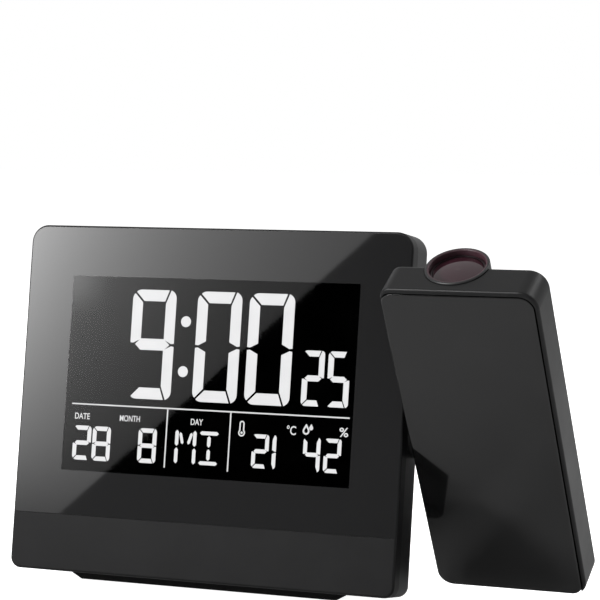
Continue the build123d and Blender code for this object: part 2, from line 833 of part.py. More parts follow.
with BuildPart() as rear_cover:
    # Outer form: the slab's back half, the housing and the hinge boss
    body_block(frame_depth + running, body_depth, 0)
    fillet(rear_cover.faces().sort_by(facing)[0].edges(), radius=back_round)
    plate(
        FRONT, inner_far, housing_far,
        -housing_half, housing_half, housing_low, housing_high, housing_corner,
    )
    fillet(rear_cover.faces().sort_by(facing)[0].edges(), radius=housing_round)
    rod(HINGE, housing_half - 2 * wall, body_half, boss_radius)
    # Hollows
    body_block(frame_depth - past, inner_far, wall, Mode.SUBTRACT)
    plate(
        FRONT, inner_far - past, housing_inner,
        -housing_half + wall, housing_half - wall, housing_low + wall, housing_high - wall,
        housing_corner - wall, Mode.SUBTRACT,
    )
    rod(HINGE, housing_half - 2 * wall - past, bush_left, boss_hollow, mode=Mode.SUBTRACT)
    # The bush's seat, a thick wall round the hinge
    rod(HINGE, bush_left, body_half, boss_radius)
    rod(HINGE, bush_left - past, body_half + past, bush_radius + running, mode=Mode.SUBTRACT)
    body_ring(-past, frame_depth + running, -past, wall + fit, Mode.SUBTRACT)
    # Lip that enters the front frame, open under the snooze bar
    lip_inner = wall + fit + lip_thick
    lip_far = frame_depth + lip_depth
    body_ring(frame_depth - lip_depth, lip_far, wall + fit, lip_inner)
    body_ring(frame_depth + free, lip_far, wall - free, lip_inner)
    plate(
        FRONT, frame_depth - lip_depth - past, lip_far + past,
        -snooze_half - snooze_lip - free, snooze_half + snooze_lip + free, inner_top - 2 * wall, inner_top,
        0, Mode.SUBTRACT,
    )
    # Columns for the case screws
    peg(FRONT, frame_boss_far + fit, inner_far + merge, column_radius, corner_spots)
    peg(FRONT, frame_boss_far, body_depth, screw_radius + fit, corner_spots, Mode.SUBTRACT)
    peg(FRONT, body_depth - column_seat, body_depth + past, head_radius + fit, corner_spots, Mode.SUBTRACT)
    # Battery bay, the door's recess and the holes for its pins
    plate(
        FRONT, bay_floor - bay_floor_wall, housing_inner + merge,
        bay_left - bay_wall, bay_right + bay_wall, bay_low - bay_wall, bay_high + bay_wall,
    )
    plate(FRONT, bay_floor, housing_far + past, bay_left, bay_right, bay_low, bay_high, 0, Mode.SUBTRACT)
    plate(
        FRONT, door_near - fit, housing_far + past,
        door_left - free, door_right + free, door_low - free, door_high + free, free, Mode.SUBTRACT,
    )
    pin_reach = free + door_pin_length + fit
    rod(
        DOOR_HINGE, door_left - pin_reach, door_right + pin_reach,
        door_pin_radius + running, mode=Mode.SUBTRACT,
    )
    # Openings for the buttons and the snooze bar
    for x, y in button_spots:
        plate(
            FRONT, inner_far - past, body_depth + past,
            x - button_wide / 2, x + button_wide / 2, y - button_tall / 2, y + button_tall / 2,
            button_round, Mode.SUBTRACT,
        )
    with BuildSketch(TOP.offset(inner_top - past)) as slot_face:
        with Locations((0, snooze_middle)):
            RectangleRounded(snooze_wide, snooze_deep, snooze_round)
    extrude(slot_face.sketch, amount=wall + 2 * past, mode=Mode.SUBTRACT)
    # Inlet, with a shelf under the socket
    plate(
        FRONT, housing_inner - jack_long, housing_inner + merge,
        jack_across - jack_side / 2, jack_across + jack_side / 2,
        housing_low + wall - merge, jack_height - jack_side / 2 - running,
    )
    peg(FRONT, housing_inner - past, housing_far + past, jack_nose + fit, jack_spot, Mode.SUBTRACT)
    # Sounder's ring and its holes
    tube(
        FRONT, -housing_inner - merge, buzzer_hold - housing_inner,
        buzzer_radius + buzzer_wall, buzzer_radius + fit, buzzer_spot,
    )
    with BuildSketch(FRONT.offset(-housing_far - past)) as sound_holes:
        with Locations(buzzer_spot):
            Circle(sound_radius)
            with PolarLocations(sound_circle, sound_count):
                Circle(sound_radius)
    extrude(sound_holes.sketch, amount=wall + 2 * past, mode=Mode.SUBTRACT)
    # Saddles that carry the aerial, and slots that let air reach the sensor
    saddle_half = rod_radius + saddle_wall
    for y in (rod_low + saddle_inset, rod_high - saddle_inset):
        plate(
            FRONT, rod_depth, inner_far + merge,
            rod_across - saddle_half, rod_across + saddle_half, y - saddle_thick / 2, y + saddle_thick / 2,
        )
    rod(TOP, rod_low - past, rod_high + past, rod_radius + fit, [(rod_across, rod_depth)], Mode.SUBTRACT)
    for i in range(vent_count):
        vent_y = sensor_height + vent_pitch * (i - (vent_count - 1) / 2)
        plate(
            FRONT, frame_depth + vent_near, inner_far - past,
            -body_half - past, past - inner_side,
            vent_y - vent_tall / 2, vent_y + vent_tall / 2, 0, Mode.SUBTRACT,
        )
    # Columns for the foot's screws
    rod(Plane.XY, foot_column_low, foot_column_high, column_radius, foot_spots)
    rod(Plane.XY, 0, foot_column_high - past, screw_radius + fit, foot_spots, Mode.SUBTRACT)
rear_cover.part.label = "rear_cover"
export_step(rear_cover.part, "parts/rear_cover.step")

with BuildPart() as case_screws:
    screws(FRONT, body_depth - column_seat, skin_far + screw_bite, corner_spots)
case_screws.part.label = "case_screws"
export_step(case_screws.part, "parts/case_screws.step")

with BuildPart() as battery_door:
    plate(FRONT, door_near, housing_far, door_left, door_right, door_low + door_edge, door_high, free)
    rod(DOOR_HINGE, door_left, door_right, door_edge)
    rod(DOOR_HINGE, door_left - free - door_pin_length, door_right + free + door_pin_length, door_pin_radius)
    # Thumb groove near the free edge
    door_middle = (door_left + door_right) / 2
    plate(
        FRONT, housing_far - thumb_deep, housing_far + past,
        door_middle - thumb_wide / 2, door_middle + thumb_wide / 2,
        door_high - 2 * thumb_tall, door_high - thumb_tall, 2 * small_round, Mode.SUBTRACT,
    )
battery_door.part.label = "battery_door"
export_step(battery_door.part, "parts/battery_door.step")

# Stations along x inside the bay, and the cells' opposite directions
cell_left = bay_left + contact_room
cell_right = bay_right - contact_room
plus_ends = [(cell_left, -1), (cell_right, 1)]
plate_side = 2 * cell_radius - plate_margin

with BuildPart() as batteries:
    for row, (plus, direction) in zip(cell_rows, plus_ends):
        minus = cell_right if direction < 0 else cell_left
        shoulder = plus - direction * cell_nub
        rod(ACROSS, minus, shoulder, cell_radius, [(row, -cell_depth)])
        rod(ACROSS, shoulder, plus, cell_nub_radius, [(row, -cell_depth)])
batteries.part.label = "batteries"
export_step(batteries.part, "parts/batteries.step")

with BuildPart() as battery_plates:
    for row, (plus, direction) in zip(cell_rows, plus_ends):
        for wall_x, inward in ((bay_left, 1), (bay_right, -1)):
            with BuildSketch(ACROSS.offset(wall_x)) as plate_face:
                with Locations((row, -cell_depth)):
                    Rectangle(plate_side, plate_side)
            extrude(plate_face.sketch, amount=inward * contact_thick)
        outer = bay_left if direction < 0 else bay_right
        rod(ACROSS, outer, plus + direction * running, cell_nub_radius + stud_extra, [(row, -cell_depth)])
battery_plates.part.label = "battery_plates"
export_step(battery_plates.part, "parts/battery_plates.step")

with BuildPart() as battery_springs:
    for row, (plus, direction) in zip(cell_rows, plus_ends):
        start = bay_right - contact_thick if direction < 0 else bay_left + contact_thick
        spring_high = contact_room - contact_thick - 2 * spring_wire - fit
        turn_x = start + direction * (spring_wire + running)
        spring_point = ACROSS.offset(turn_x).from_local_coords(Vector(row, -cell_depth, 0))
        with BuildLine() as coil:
            Helix(
                pitch=spring_high / spring_turns, height=spring_high, radius=spring_radius,
                center=spring_point, direction=(direction, 0, 0),
            )
        with BuildSketch(Plane(coil.line @ 0, z_dir=coil.line % 0)) as wire:
            Circle(spring_wire)
        sweep(wire.sketch, path=coil.line)
battery_springs.part.label = "battery_springs"
export_step(battery_springs.part, "parts/battery_springs.step")

with BuildPart() as dc_jack:
    half_jack = jack_side / 2
    jack_floor = housing_inner - jack_long + jack_end
    plate(
        FRONT, housing_inner - jack_long, housing_inner,
        jack_across - half_jack, jack_across + half_jack,
        jack_height - half_jack, jack_height + half_jack, small_round,
    )
    peg(FRONT, housing_inner, housing_far - jack_recess, jack_nose, jack_spot)
    peg(FRONT, jack_floor, housing_far + past, jack_bore, jack_spot, Mode.SUBTRACT)
    peg(FRONT, jack_floor - merge, housing_far - wall, jack_pin, jack_spot)
dc_jack.part.label = "dc_jack"
export_step(dc_jack.part, "parts/dc_jack.step")

with BuildPart() as buzzer:
    peg(FRONT, housing_inner - buzzer_tall, housing_inner, buzzer_radius, [buzzer_spot])
buzzer.part.label = "buzzer"
export_step(buzzer.part, "parts/buzzer.step")

with BuildPart() as antenna_rod:
    rod(TOP, rod_low, rod_high, rod_radius, [(rod_across, rod_depth)])
antenna_rod.part.label = "antenna_rod"
export_step(antenna_rod.part, "parts/antenna_rod.step")

with BuildPart() as antenna_coil:
    coil_low = rod_low + (rod_length - coil_length) / 2
    tube(TOP, coil_low, coil_low + coil_length, coil_radius, rod_radius + running, (rod_across, rod_depth))
antenna_coil.part.label = "antenna_coil"
export_step(antenna_coil.part, "parts/antenna_coil.step")

with BuildPart() as climate_sensor:
    half_sensor = sensor_side / 2
    plate(
        FRONT, inner_far - sensor_thick, inner_far,
        rod_across - half_sensor, rod_across + half_sensor,
        sensor_height - half_sensor, sensor_height + half_sensor,
    )
    half_chip = sensor_chip / 2
    plate(
        FRONT, inner_far - 2 * sensor_thick, inner_far - sensor_thick,
        rod_across - half_chip, rod_across + half_chip, sensor_height - half_chip, sensor_height + half_chip,
    )
climate_sensor.part.label = "climate_sensor"
export_step(climate_sensor.part, "parts/climate_sensor.step")

# ---------------------------------------------------------------------------
# Foot
# ---------------------------------------------------------------------------

with BuildPart() as base_foot:
    # Side outline: under the slab, up its back, under the housing, down to the tail
    with BuildSketch(Plane.YZ.offset(-foot_width / 2)) as side:
        with BuildLine():
            Polyline(
                (-foot_depth / 2, foot_low),
                (foot_depth / 2, foot_low),
                (foot_depth / 2, foot_low + foot_tail),
                side_point(housing_low, housing_far - housing_round),
                side_point(housing_low, body_depth + fit),
                side_point(0, body_depth + fit),
                side_point(0, foot_setback / cos(lean) - (body_lift - foot_low) * sin(lean) / 2),
                close=True,
            )
        make_face()
    extrude(side.sketch, amount=foot_width)
    fillet(base_foot.edges().filter_by(Axis.Z).group_by(Axis.Y)[-1], radius=foot_round)
    # Slanted ends
    with BuildSketch(Plane.XZ) as ends:
        with BuildLine():
            Polyline(
                (foot_slant - foot_width / 2, foot_low),
                (foot_width / 2 - foot_slant, foot_low),
                (foot_width / 2, foot_low + foot_slant_tall),
                (foot_width / 2, body_height),
                (-foot_width / 2, body_height),
                (-foot_width / 2, foot_low + foot_slant_tall),
                close=True,
            )
        make_face()
    extrude(ends.sketch, amount=foot_depth, both=True, mode=Mode.INTERSECT)
    with BuildSketch(Plane.XY) as pad_recess:
        with Locations(*pad_spots):
            RectangleRounded(pad_wide + 2 * fit, pad_deep + 2 * fit, pad_round + fit)
    extrude(pad_recess.sketch, amount=pad_thick + running, mode=Mode.SUBTRACT)
    rod(Plane.XY, -past, foot_seat, head_radius + fit, foot_spots, Mode.SUBTRACT)
    rod(Plane.XY, -past, foot_column_high, screw_radius + fit, foot_spots, Mode.SUBTRACT)
base_foot.part.label = "base_foot"
export_step(base_foot.part, "parts/base_foot.step")

with BuildPart() as foot_pads:
    with BuildSketch(Plane.XY) as pad_face:
        with Locations(*pad_spots):
            RectangleRounded(pad_wide, pad_deep, pad_round)
    extrude(pad_face.sketch, amount=pad_thick)
foot_pads.part.label = "foot_pads"
export_step(foot_pads.part, "parts/foot_pads.step")

with BuildPart() as foot_screws:
    rod(Plane.XY, foot_seat - head_tall, foot_seat, head_radius, foot_spots)
    rod(Plane.XY, foot_seat, foot_column_high - screw_bite, screw_radius, foot_spots)
foot_screws.part.label = "foot_screws"
export_step(foot_screws.part, "parts/foot_screws.step")

# ---------------------------------------------------------------------------
# Hinge between the body and the arm
# ---------------------------------------------------------------------------

with BuildPart() as hinge_bush:
    tube(HINGE, bush_left, bush_face, bush_radius, shaft_radius + running)
    tube(HINGE, body_half, bush_face, hub_radius, shaft_radius + running)
hinge_bush.part.label = "hinge_bush"
export_step(hinge_bush.part, "parts/hinge_bush.step")

with BuildPart() as hinge_shaft:
    tube(HINGE, shaft_tip, flange_left + shaft_flange, shaft_radius, shaft_bore)
    tube(HINGE, flange_left, flange_left + shaft_flange, flange_radius, shaft_bore)
    tube(
        HINGE, clip_left - running, clip_left + clip_thick + running,
        shaft_radius + past, shaft_radius - clip_groove, mode=Mode.SUBTRACT,
    )
    rod(
        HINGE, flange_left - past, flange_left + shaft_flange + past,
        hub_screw_radius + fit, hub_spots, Mode.SUBTRACT,
    )
hinge_shaft.part.label = "hinge_shaft"
export_step(hinge_shaft.part, "parts/hinge_shaft.step")

with BuildPart() as hinge_clip:
    tube(HINGE, clip_left, clip_left + clip_thick, stack_radius, shaft_radius - clip_groove + fit)
    with BuildSketch(HINGE.offset(clip_left)) as clip_mouth:
        with Locations((0, -stack_radius)):
            Rectangle(2 * shaft_bore, 2 * stack_radius)
    extrude(clip_mouth.sketch, amount=clip_thick, mode=Mode.SUBTRACT)
hinge_clip.part.label = "hinge_clip"
export_step(hinge_clip.part, "parts/hinge_clip.step")

with BuildPart() as hinge_spring:
    # A dished spring washer, a thin cone ring
    with BuildSketch(HINGE_SECTION) as dish:
        with BuildLine():
            Polyline(
                (spring_left, stack_radius),
                (spring_left + dish_thick, stack_radius),
                (spring_left + spring_thick, shaft_radius + fit),
                (spring_left + spring_thick - dish_thick, shaft_radius + fit),
                close=True,
            )
        make_face()
    revolve(axis=hinge_axis)
hinge_spring.part.label = "hinge_spring"
export_step(hinge_spring.part, "parts/hinge_spring.step")

with BuildPart() as hinge_washer:
    tube(HINGE, washer_left, washer_left + washer_thick, stack_radius, shaft_radius + fit)
hinge_washer.part.label = "hinge_washer"
export_step(hinge_washer.part, "parts/hinge_washer.step")

with BuildPart() as hub_screws:
    hub_seat = flange_left + shaft_flange
    rod(HINGE, hub_seat, hub_seat + hub_head_tall, hub_head_radius, hub_spots)
    rod(HINGE, hub_face + hub_screw_start, hub_seat, hub_screw_radius, hub_spots)
hub_screws.part.label = "hub_screws"
export_step(hub_screws.part, "parts/hub_screws.step")

with BuildPart() as body_cable:
    # From the plug on the main board into the middle of the hinge
    plug_middle = board_far + cable_radius + cable_lift
    body_route = [
        FRONT.from_local_coords(Vector(plug_right, hinge_height, -plug_middle)),
        FRONT.from_local_coords(Vector(plug_right + cable_start, hinge_height, -plug_middle)),
        Vector(plug_right + cable_start + cable_bend, pivot.Y, pivot.Z),
        Vector(arm_left, pivot.Y, pivot.Z),
    ]
    with BuildLine() as body_path:
        FilletPolyline(*body_route, radius=bend_radii(body_route))
    with BuildSketch(Plane(body_path.line @ 0, z_dir=body_path.line % 0)) as body_section:
        Circle(cable_radius)
    sweep(body_section.sketch, path=body_path.line)
body_cable.part.label = "body_cable"
export_step(body_cable.part, "parts/body_cable.step")

# ---------------------------------------------------------------------------
# Projector arm
# ---------------------------------------------------------------------------

with BuildPart() as hub_form:
    rod(HINGE, hub_face, arm_left + hub_length, hub_radius)
    fillet(hub_form.edges().sort_by(Axis.X)[-1], radius=hub_round)

with BuildPart() as barrel_form:
    rod(LENS, barrel_low, pocket_low, ring_radius)
    fillet(barrel_form.edges().sort_by(lens_axis)[0], radius=barrel_round)

with BuildPart() as arm_shell:
    arm_block(0, arm_depth, 0)
    fillet(arm_shell.faces().sort_by(arm_facing)[-1].edges(), radius=arm_front_round)
    fillet(arm_shell.faces().sort_by(arm_facing)[0].edges(), radius=arm_back_round)
    add(hub_form.part)
    add(barrel_form.part)
    # Hollows
    rod(HINGE, arm_left + arm_wall, arm_left + hub_length - arm_wall, hub_hollow, mode=Mode.SUBTRACT)
    rod(LENS, barrel_low + barrel_wall, pocket_low, barrel_bore, mode=Mode.SUBTRACT)
    arm_block(panel_thick, arm_depth - arm_back, arm_wall, Mode.SUBTRACT)
    # Collar round the focus ring's pocket
    with BuildSketch(LENS.offset(pocket_low - collar_wall)) as collar:
        Circle(collar_radius)
        with Locations((0, lens_setback - arm_back / 2)):
            Rectangle(
                2 * (collar_radius + past), arm_depth - arm_back / 2 - panel_thick,
                align=(Align.CENTER, Align.MAX), mode=Mode.INTERSECT,
            )
    extrude(collar.sketch, amount=arm_length - arm_wall / 2 - pocket_low + collar_wall)
    rod(LENS, pocket_low - collar_wall - past, pocket_low + past, barrel_bore, mode=Mode.SUBTRACT)
    rod(LENS, pocket_low, arm_length + past, pocket_radius, mode=Mode.SUBTRACT)
    # Recess for the panel, and the groove beside it
    panel_block(-past, panel_thick, panel_groove, Mode.SUBTRACT)
    # Bore for the shaft, and the screws' holes
    shell_inner = arm_left + arm_wall + past
    rod(HINGE, hub_face - past, shell_inner, shaft_radius + fit, mode=Mode.SUBTRACT)
    rod(
        HINGE, hub_face + hub_screw_start - fit, shell_inner,
        hub_screw_radius + fit, hub_spots, Mode.SUBTRACT,
    )
    peg(ARM, arm_boss_far + fit, arm_depth - arm_back / 2, column_radius, arm_spots)
    peg(ARM, arm_boss_far, arm_depth, screw_radius + fit, arm_spots, Mode.SUBTRACT)
    peg(ARM, arm_depth - column_seat, arm_depth + past, head_radius + fit, arm_spots, Mode.SUBTRACT)
arm_shell.part.label = "arm_shell"
export_step(arm_shell.part, "parts/arm_shell.step")

with BuildPart() as arm_panel:
    panel_block(0, panel_thick - running, 0)
    fillet(arm_panel.faces().sort_by(arm_facing)[-1].edges(), radius=panel_round)
    peg(ARM, panel_thick - merge, arm_boss_far, frame_column_radius, arm_spots)
    peg(ARM, panel_thick + merge, arm_boss_far + past, screw_radius + fit, arm_spots, Mode.SUBTRACT)
arm_panel.part.label = "arm_panel"
export_step(arm_panel.part, "parts/arm_panel.step")

with BuildPart() as arm_screws:
    screws(ARM, arm_depth - column_seat, panel_thick + merge + past, arm_spots)
arm_screws.part.label = "arm_screws"
export_step(arm_screws.part, "parts/arm_screws.step")

with BuildPart() as focus_ring:
    tube(LENS, ring_low, ring_low + ring_length, ring_radius, ring_bore)
    fillet(focus_ring.faces().sort_by(lens_axis)[-1].edges(), radius=ring_round)
    # Groove for the tube's snap bead, and finger grips low on the outside
    tube(
        LENS, bead_low - fit, bead_low + bead_tall + fit,
        ring_bore + bead_proud, ring_bore - past, mode=Mode.SUBTRACT,
    )
    with BuildSketch(LENS.offset(ring_low - past)) as grips:
        with PolarLocations(ring_radius + grip_out, ring_grips):
            Circle(grip_radius)
    extrude(grips.sketch, amount=ring_length / 2 + past, mode=Mode.SUBTRACT)
focus_ring.part.label = "focus_ring"
export_step(focus_ring.part, "parts/focus_ring.step")

with BuildPart() as lens_tube:
    tube(LENS, tube_low, tube_high, tube_radius, tube_bore)
    for band_low in (tube_low, pocket_low - band_drop):
        tube(LENS, band_low, band_low + band_tall, seat_radius, tube_bore)
    tube(LENS, bead_low, bead_low + bead_tall, ring_bore + bead_proud - 2 * fit, tube_bore)
    # Ledges that the condenser and the display film rest on
    for seat in (condenser_height, film_height):
        tube(LENS, seat - ledge_tall, seat, tube_bore + tube_wall / 2, tube_bore - ledge_deep)
lens_tube.part.label = "lens_tube"
export_step(lens_tube.part, "parts/lens_tube.step")

with BuildPart() as lens_carrier:
    tube(LENS, crown_low - carrier_length, lens_low, carrier_radius, carrier_bore)
    # Wide head round the lens, which rests on its floor
    tube(LENS, crown_low, lens_low, crown_radius, carrier_bore)
    tube(LENS, crown_low, crown_high, crown_radius, crown_radius - crown_wall)
lens_carrier.part.label = "lens_carrier"
export_step(lens_carrier.part, "parts/lens_carrier.step")

with BuildPart() as focus_lens:
    with BuildSketch(LENS_SECTION) as lens_half:
        with BuildLine() as lens_line:
            plano_convex(lens_radius, lens_low, lens_edge, lens_sag)
        make_face(lens_line.edges())
    revolve(axis=lens_axis)
focus_lens.part.label = "focus_lens"
export_step(focus_lens.part, "parts/focus_lens.step")

with BuildPart() as condenser_lens:
    with BuildSketch(LENS_SECTION) as condenser_half:
        with BuildLine() as condenser_line:
            plano_convex(tube_bore - fit, condenser_height, condenser_edge, condenser_sag)
        make_face(condenser_line.edges())
    revolve(axis=lens_axis)
condenser_lens.part.label = "condenser_lens"
export_step(condenser_lens.part, "parts/condenser_lens.step")

with BuildPart() as projection_lcd:
    with BuildSketch(LENS.offset(film_height)) as film:
        Rectangle(film_side, film_side)
    extrude(film.sketch, amount=film_thick)
projection_lcd.part.label = "projection_lcd"
export_step(projection_lcd.part, "parts/projection_lcd.step")

with BuildPart() as led_board:
    rod(LENS, tube_low - led_board_thick, tube_low, seat_radius)
led_board.part.label = "led_board"
export_step(led_board.part, "parts/led_board.step")

with BuildPart() as projector_led:
    with BuildSketch(LENS.offset(tube_low)) as led_base:
        Rectangle(led_side, led_side)
    extrude(led_base.sketch, amount=led_base_tall)
    dome_low = tube_low + led_base_tall
    rod(LENS, dome_low, dome_low + led_dome_tall, led_dome_radius)
    fillet(projector_led.edges().sort_by(lens_axis)[-1], radius=led_dome_round)
projector_led.part.label = "projector_led"
export_step(projector_led.part, "parts/projector_led.step")

with BuildPart() as arm_cable:
    # From the middle of the hinge up to the lamp's board
    cable_depth = arm_depth - hinge_inset
    rise_depth = cable_depth - 3 * cable_radius
    rise_across = lens_across - cable_offset
    arm_route = [
        ARM.from_local_coords(Vector(x, y, -depth))
        for x, y, depth in (
            (0, hinge_height, cable_depth),
            (hub_length / 2, hinge_height, cable_depth),
            (hub_length, hinge_height + cable_offset, rise_depth),
            (rise_across, barrel_low, rise_depth),
            (rise_across, tube_low - led_board_thick, rise_depth),
        )
    ]
    with BuildLine() as arm_path:
        FilletPolyline(*arm_route, radius=bend_radii(arm_route))
    with BuildSketch(Plane(arm_path.line @ 0, z_dir=arm_path.line % 0)) as arm_section:
        Circle(cable_radius)
    sweep(arm_section.sketch, path=arm_path.line)
arm_cable.part.label = "arm_cable"
export_step(arm_cable.part, "parts/arm_cable.step")
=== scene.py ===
"""Projection alarm clock: finishes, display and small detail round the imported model.

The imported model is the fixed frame: +X towards the projector arm, +Y backwards, +Z up, in metres.
Lengths of the clock are millimetres here until a Datum, an Axis or a shader turns them into metres;
the studio's distances are metres, and its angles are degrees.
"""

import json
import logging
from dataclasses import dataclass
from enum import Enum
from math import cos, pi, radians, sin

import bpy
import numpy as np
from bpy.types import Material, NodeSocket, NodeTree, Object
from mathutils import Matrix, Vector

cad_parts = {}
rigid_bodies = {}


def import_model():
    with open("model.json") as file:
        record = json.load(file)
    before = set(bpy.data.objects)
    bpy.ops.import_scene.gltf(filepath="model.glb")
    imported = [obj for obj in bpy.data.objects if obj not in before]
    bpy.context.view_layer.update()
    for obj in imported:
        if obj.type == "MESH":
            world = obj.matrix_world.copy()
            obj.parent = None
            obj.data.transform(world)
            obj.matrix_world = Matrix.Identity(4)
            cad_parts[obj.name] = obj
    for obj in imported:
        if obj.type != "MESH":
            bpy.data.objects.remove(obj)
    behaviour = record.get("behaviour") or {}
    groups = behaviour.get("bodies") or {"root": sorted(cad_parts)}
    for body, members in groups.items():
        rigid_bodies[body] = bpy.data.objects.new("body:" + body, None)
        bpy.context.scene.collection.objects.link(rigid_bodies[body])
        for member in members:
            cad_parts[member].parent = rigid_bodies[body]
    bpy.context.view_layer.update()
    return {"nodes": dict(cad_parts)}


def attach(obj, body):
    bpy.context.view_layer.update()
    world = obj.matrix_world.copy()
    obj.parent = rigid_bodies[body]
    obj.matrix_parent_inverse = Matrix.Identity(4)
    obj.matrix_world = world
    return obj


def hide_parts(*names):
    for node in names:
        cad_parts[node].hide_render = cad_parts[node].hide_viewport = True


for leftover in list(bpy.data.objects):
    bpy.data.objects.remove(leftover)
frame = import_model()

Pair = tuple[float, float]
Triple = tuple[float, float, float]
Box = tuple[float, float, float, float]

log = logging.getLogger("clock")
MILLIMETRE = 0.001
SHARP_ANGLE = radians(35)
CORNER_STEPS = 10
LEAST_RADIUS = 0.02
WAVE_SPAN = 6.0  # the wave texture's scale is 1 / (pitch x this)


# ---- places

@dataclass(frozen=True)
class Datum:
    """A slab's own axes: across to the right, up the slab, deep behind its front."""

    origin: Triple
    across: Triple
    up: Triple
    deep: Triple

    def place(self, x: float | np.ndarray, h: float | np.ndarray, t: float | np.ndarray) -> np.ndarray:
        """Turn slab coordinates into the frame's metres.

        Args:
            x: Distances to the right, in millimetres.
            h: Distances up the slab.
            t: Depths behind the slab's front.

        Returns:
            Points, with a last axis of three: origin + x across + h up + t deep.
        """
        x, h, t = (np.asarray(v, float)[..., None] for v in np.broadcast_arrays(x, h, t))
        origin, across, up, deep = (np.array(a) for a in (self.origin, self.across, self.up, self.deep))
        return (origin + x * across + h * up + t * deep) * MILLIMETRE

    def spot(self, x: float, h: float, t: float) -> Vector:
        """One point of the slab, in metres."""
        return Vector(self.place(x, h, t))


BODY_WIDTH, BODY_HEIGHT, BODY_DEPTH = 153.0, 128.5, 16.6
BODY_LEAN, BODY_LIFT, FRONT_Y = radians(8.9), 4.6, -29.3
ARM_LEFT, ARM_DEPTH = 79.0, 15.25
ARM_TILT = radians(29.7)
HINGE_HEIGHT, HINGE_INSET = 58.9, 2.0
LENS_ACROSS, LENS_SETBACK = 23.8, 0.45

SLAB = Datum(
    (0.0, FRONT_Y, BODY_LIFT),
    (1.0, 0.0, 0.0),
    (0.0, sin(BODY_LEAN), cos(BODY_LEAN)),
    (0.0, cos(BODY_LEAN), -sin(BODY_LEAN)),
)


def arm_datum() -> Datum:
    """The arm's axes: it turns about the hinge, which both slabs share."""
    pivot = np.array(SLAB.spot(0, HINGE_HEIGHT, BODY_DEPTH - HINGE_INSET)) / MILLIMETRE
    up = np.array([0.0, -sin(ARM_TILT), cos(ARM_TILT)])
    deep = np.array([0.0, cos(ARM_TILT), sin(ARM_TILT)])
    corner = pivot - up * HINGE_HEIGHT - deep * (ARM_DEPTH - HINGE_INSET)
    return Datum((ARM_LEFT, float(corner[1]), float(corner[2])), (1.0, 0.0, 0.0), tuple(up), tuple(deep))


ARM = arm_datum()


# ---- meshes

def full_turn(steps: int) -> np.ndarray:
    """Angles in equal steps once round."""
    return np.linspace(0, 2 * pi, steps, endpoint=False)


def quarter_turn(steps: int) -> np.ndarray:
    """Angles in equal steps from 0 to a right angle, with both ends."""
    return np.linspace(0, pi / 2, steps)


def unit_circle(turn: np.ndarray) -> np.ndarray:
    """Points cos, sin of the given angles, with a last axis of two."""
    return np.stack([np.cos(turn), np.sin(turn)], -1)


def link(thing: Object) -> Object:
    """Put a new object into the scene."""
    bpy.context.scene.collection.objects.link(thing)
    return thing


def mesh_piece(name: str, points: np.ndarray, faces: list, smooth: bool = True) -> Object:
    """Make an object from points and faces.

    Args:
        name: The piece's name.
        points: Corners, in metres, n by 3.
        faces: Lists or rows of corner numbers, counter-clockwise seen from outside.
        smooth: Shade faces as one curved surface where they meet at less than SHARP_ANGLE.

    Returns:
        The new object, at the world's origin.
    """
    mesh = bpy.data.meshes.new(name)
    mesh.from_pydata(np.asarray(points).reshape(-1, 3).tolist(), [], [list(map(int, f)) for f in faces])
    mesh.validate()
    if smooth:
        mesh.polygons.foreach_set("use_smooth", np.ones(len(mesh.polygons), bool))
        mesh.set_sharp_from_angle(angle=SHARP_ANGLE)
    return link(bpy.data.objects.new(name, mesh))


def strip_faces(rings: int, count: int, closed: bool = False) -> np.ndarray:
    """Quads between neighbouring rings of count points each.

    Args:
        rings: How many rings there are.
        count: Points in each ring, which closes on itself.
        closed: Join the last ring to the first.

    Returns:
        Corner numbers, one row for each quad.
    """
    ring = np.arange(rings if closed else rings - 1)[:, None]
    here = np.arange(count)[None, :]
    after = (here + 1) % count
    low, high = ring * count, (ring + 1) % rings * count
    return np.stack([low + here, low + after, high + after, high + here], -1).reshape(-1, 4)


def rounded_outline(box: tuple, radii: tuple[float, ...], inset: float) -> np.ndarray:
    """Outline of a rectangle with round corners.

    Each corner is a quarter circle: centre + radius (cos a, sin a), with a in equal steps. An inset
    shrinks every radius by as much, down to a small one, so that all rings have the same points.

    Args:
        box: Left, right, low and high sides, in millimetres.
        radii: Corner radii from the low left one, counter-clockwise.
        inset: How far the outline is drawn in.

    Returns:
        Points x, h in a counter-clockwise ring, n by 2.
    """
    left, right, low, high = box
    left, right, low, high = left + inset, right - inset, low + inset, high - inset
    radius = np.maximum(np.array(radii) - inset, LEAST_RADIUS)
    centres = np.array([
        (left + radius[0], low + radius[0]), (right - radius[1], low + radius[1]),
        (right - radius[2], high - radius[2]), (left + radius[3], high - radius[3]),
    ])
    start = np.array([pi, 1.5 * pi, 0.0, 0.5 * pi])
    arc = unit_circle(start[:, None] + quarter_turn(CORNER_STEPS)[None, :]) * radius[:, None, None]
    return (centres[:, None, :] + arc).reshape(-1, 2)


def rimmed_plate(
    name: str, datum: Datum, box: tuple, radii: tuple, profile: list[Pair],
) -> Object:
    """A plate whose rim follows a profile carried round a rounded outline.

    Args:
        name: The piece's name.
        datum: The slab that it lies in.
        box: Left, right, low and high sides.
        radii: Its corner radii.
        profile: Pairs of inset and depth, from the back's edge over the rim to the front's edge.

    Returns:
        A closed plate, flat in front and behind.
    """
    count = len(radii) * CORNER_STEPS
    points = np.stack([datum.place(*rounded_outline(box, radii, inset).T, depth) for inset, depth in profile])
    faces = [*strip_faces(len(profile), count), range(count)[::-1], range(len(profile) * count)[-count:]]
    piece = mesh_piece(name, points, faces)
    for cap in list(piece.data.polygons)[-2:]:
        cap.use_smooth = False
    return piece


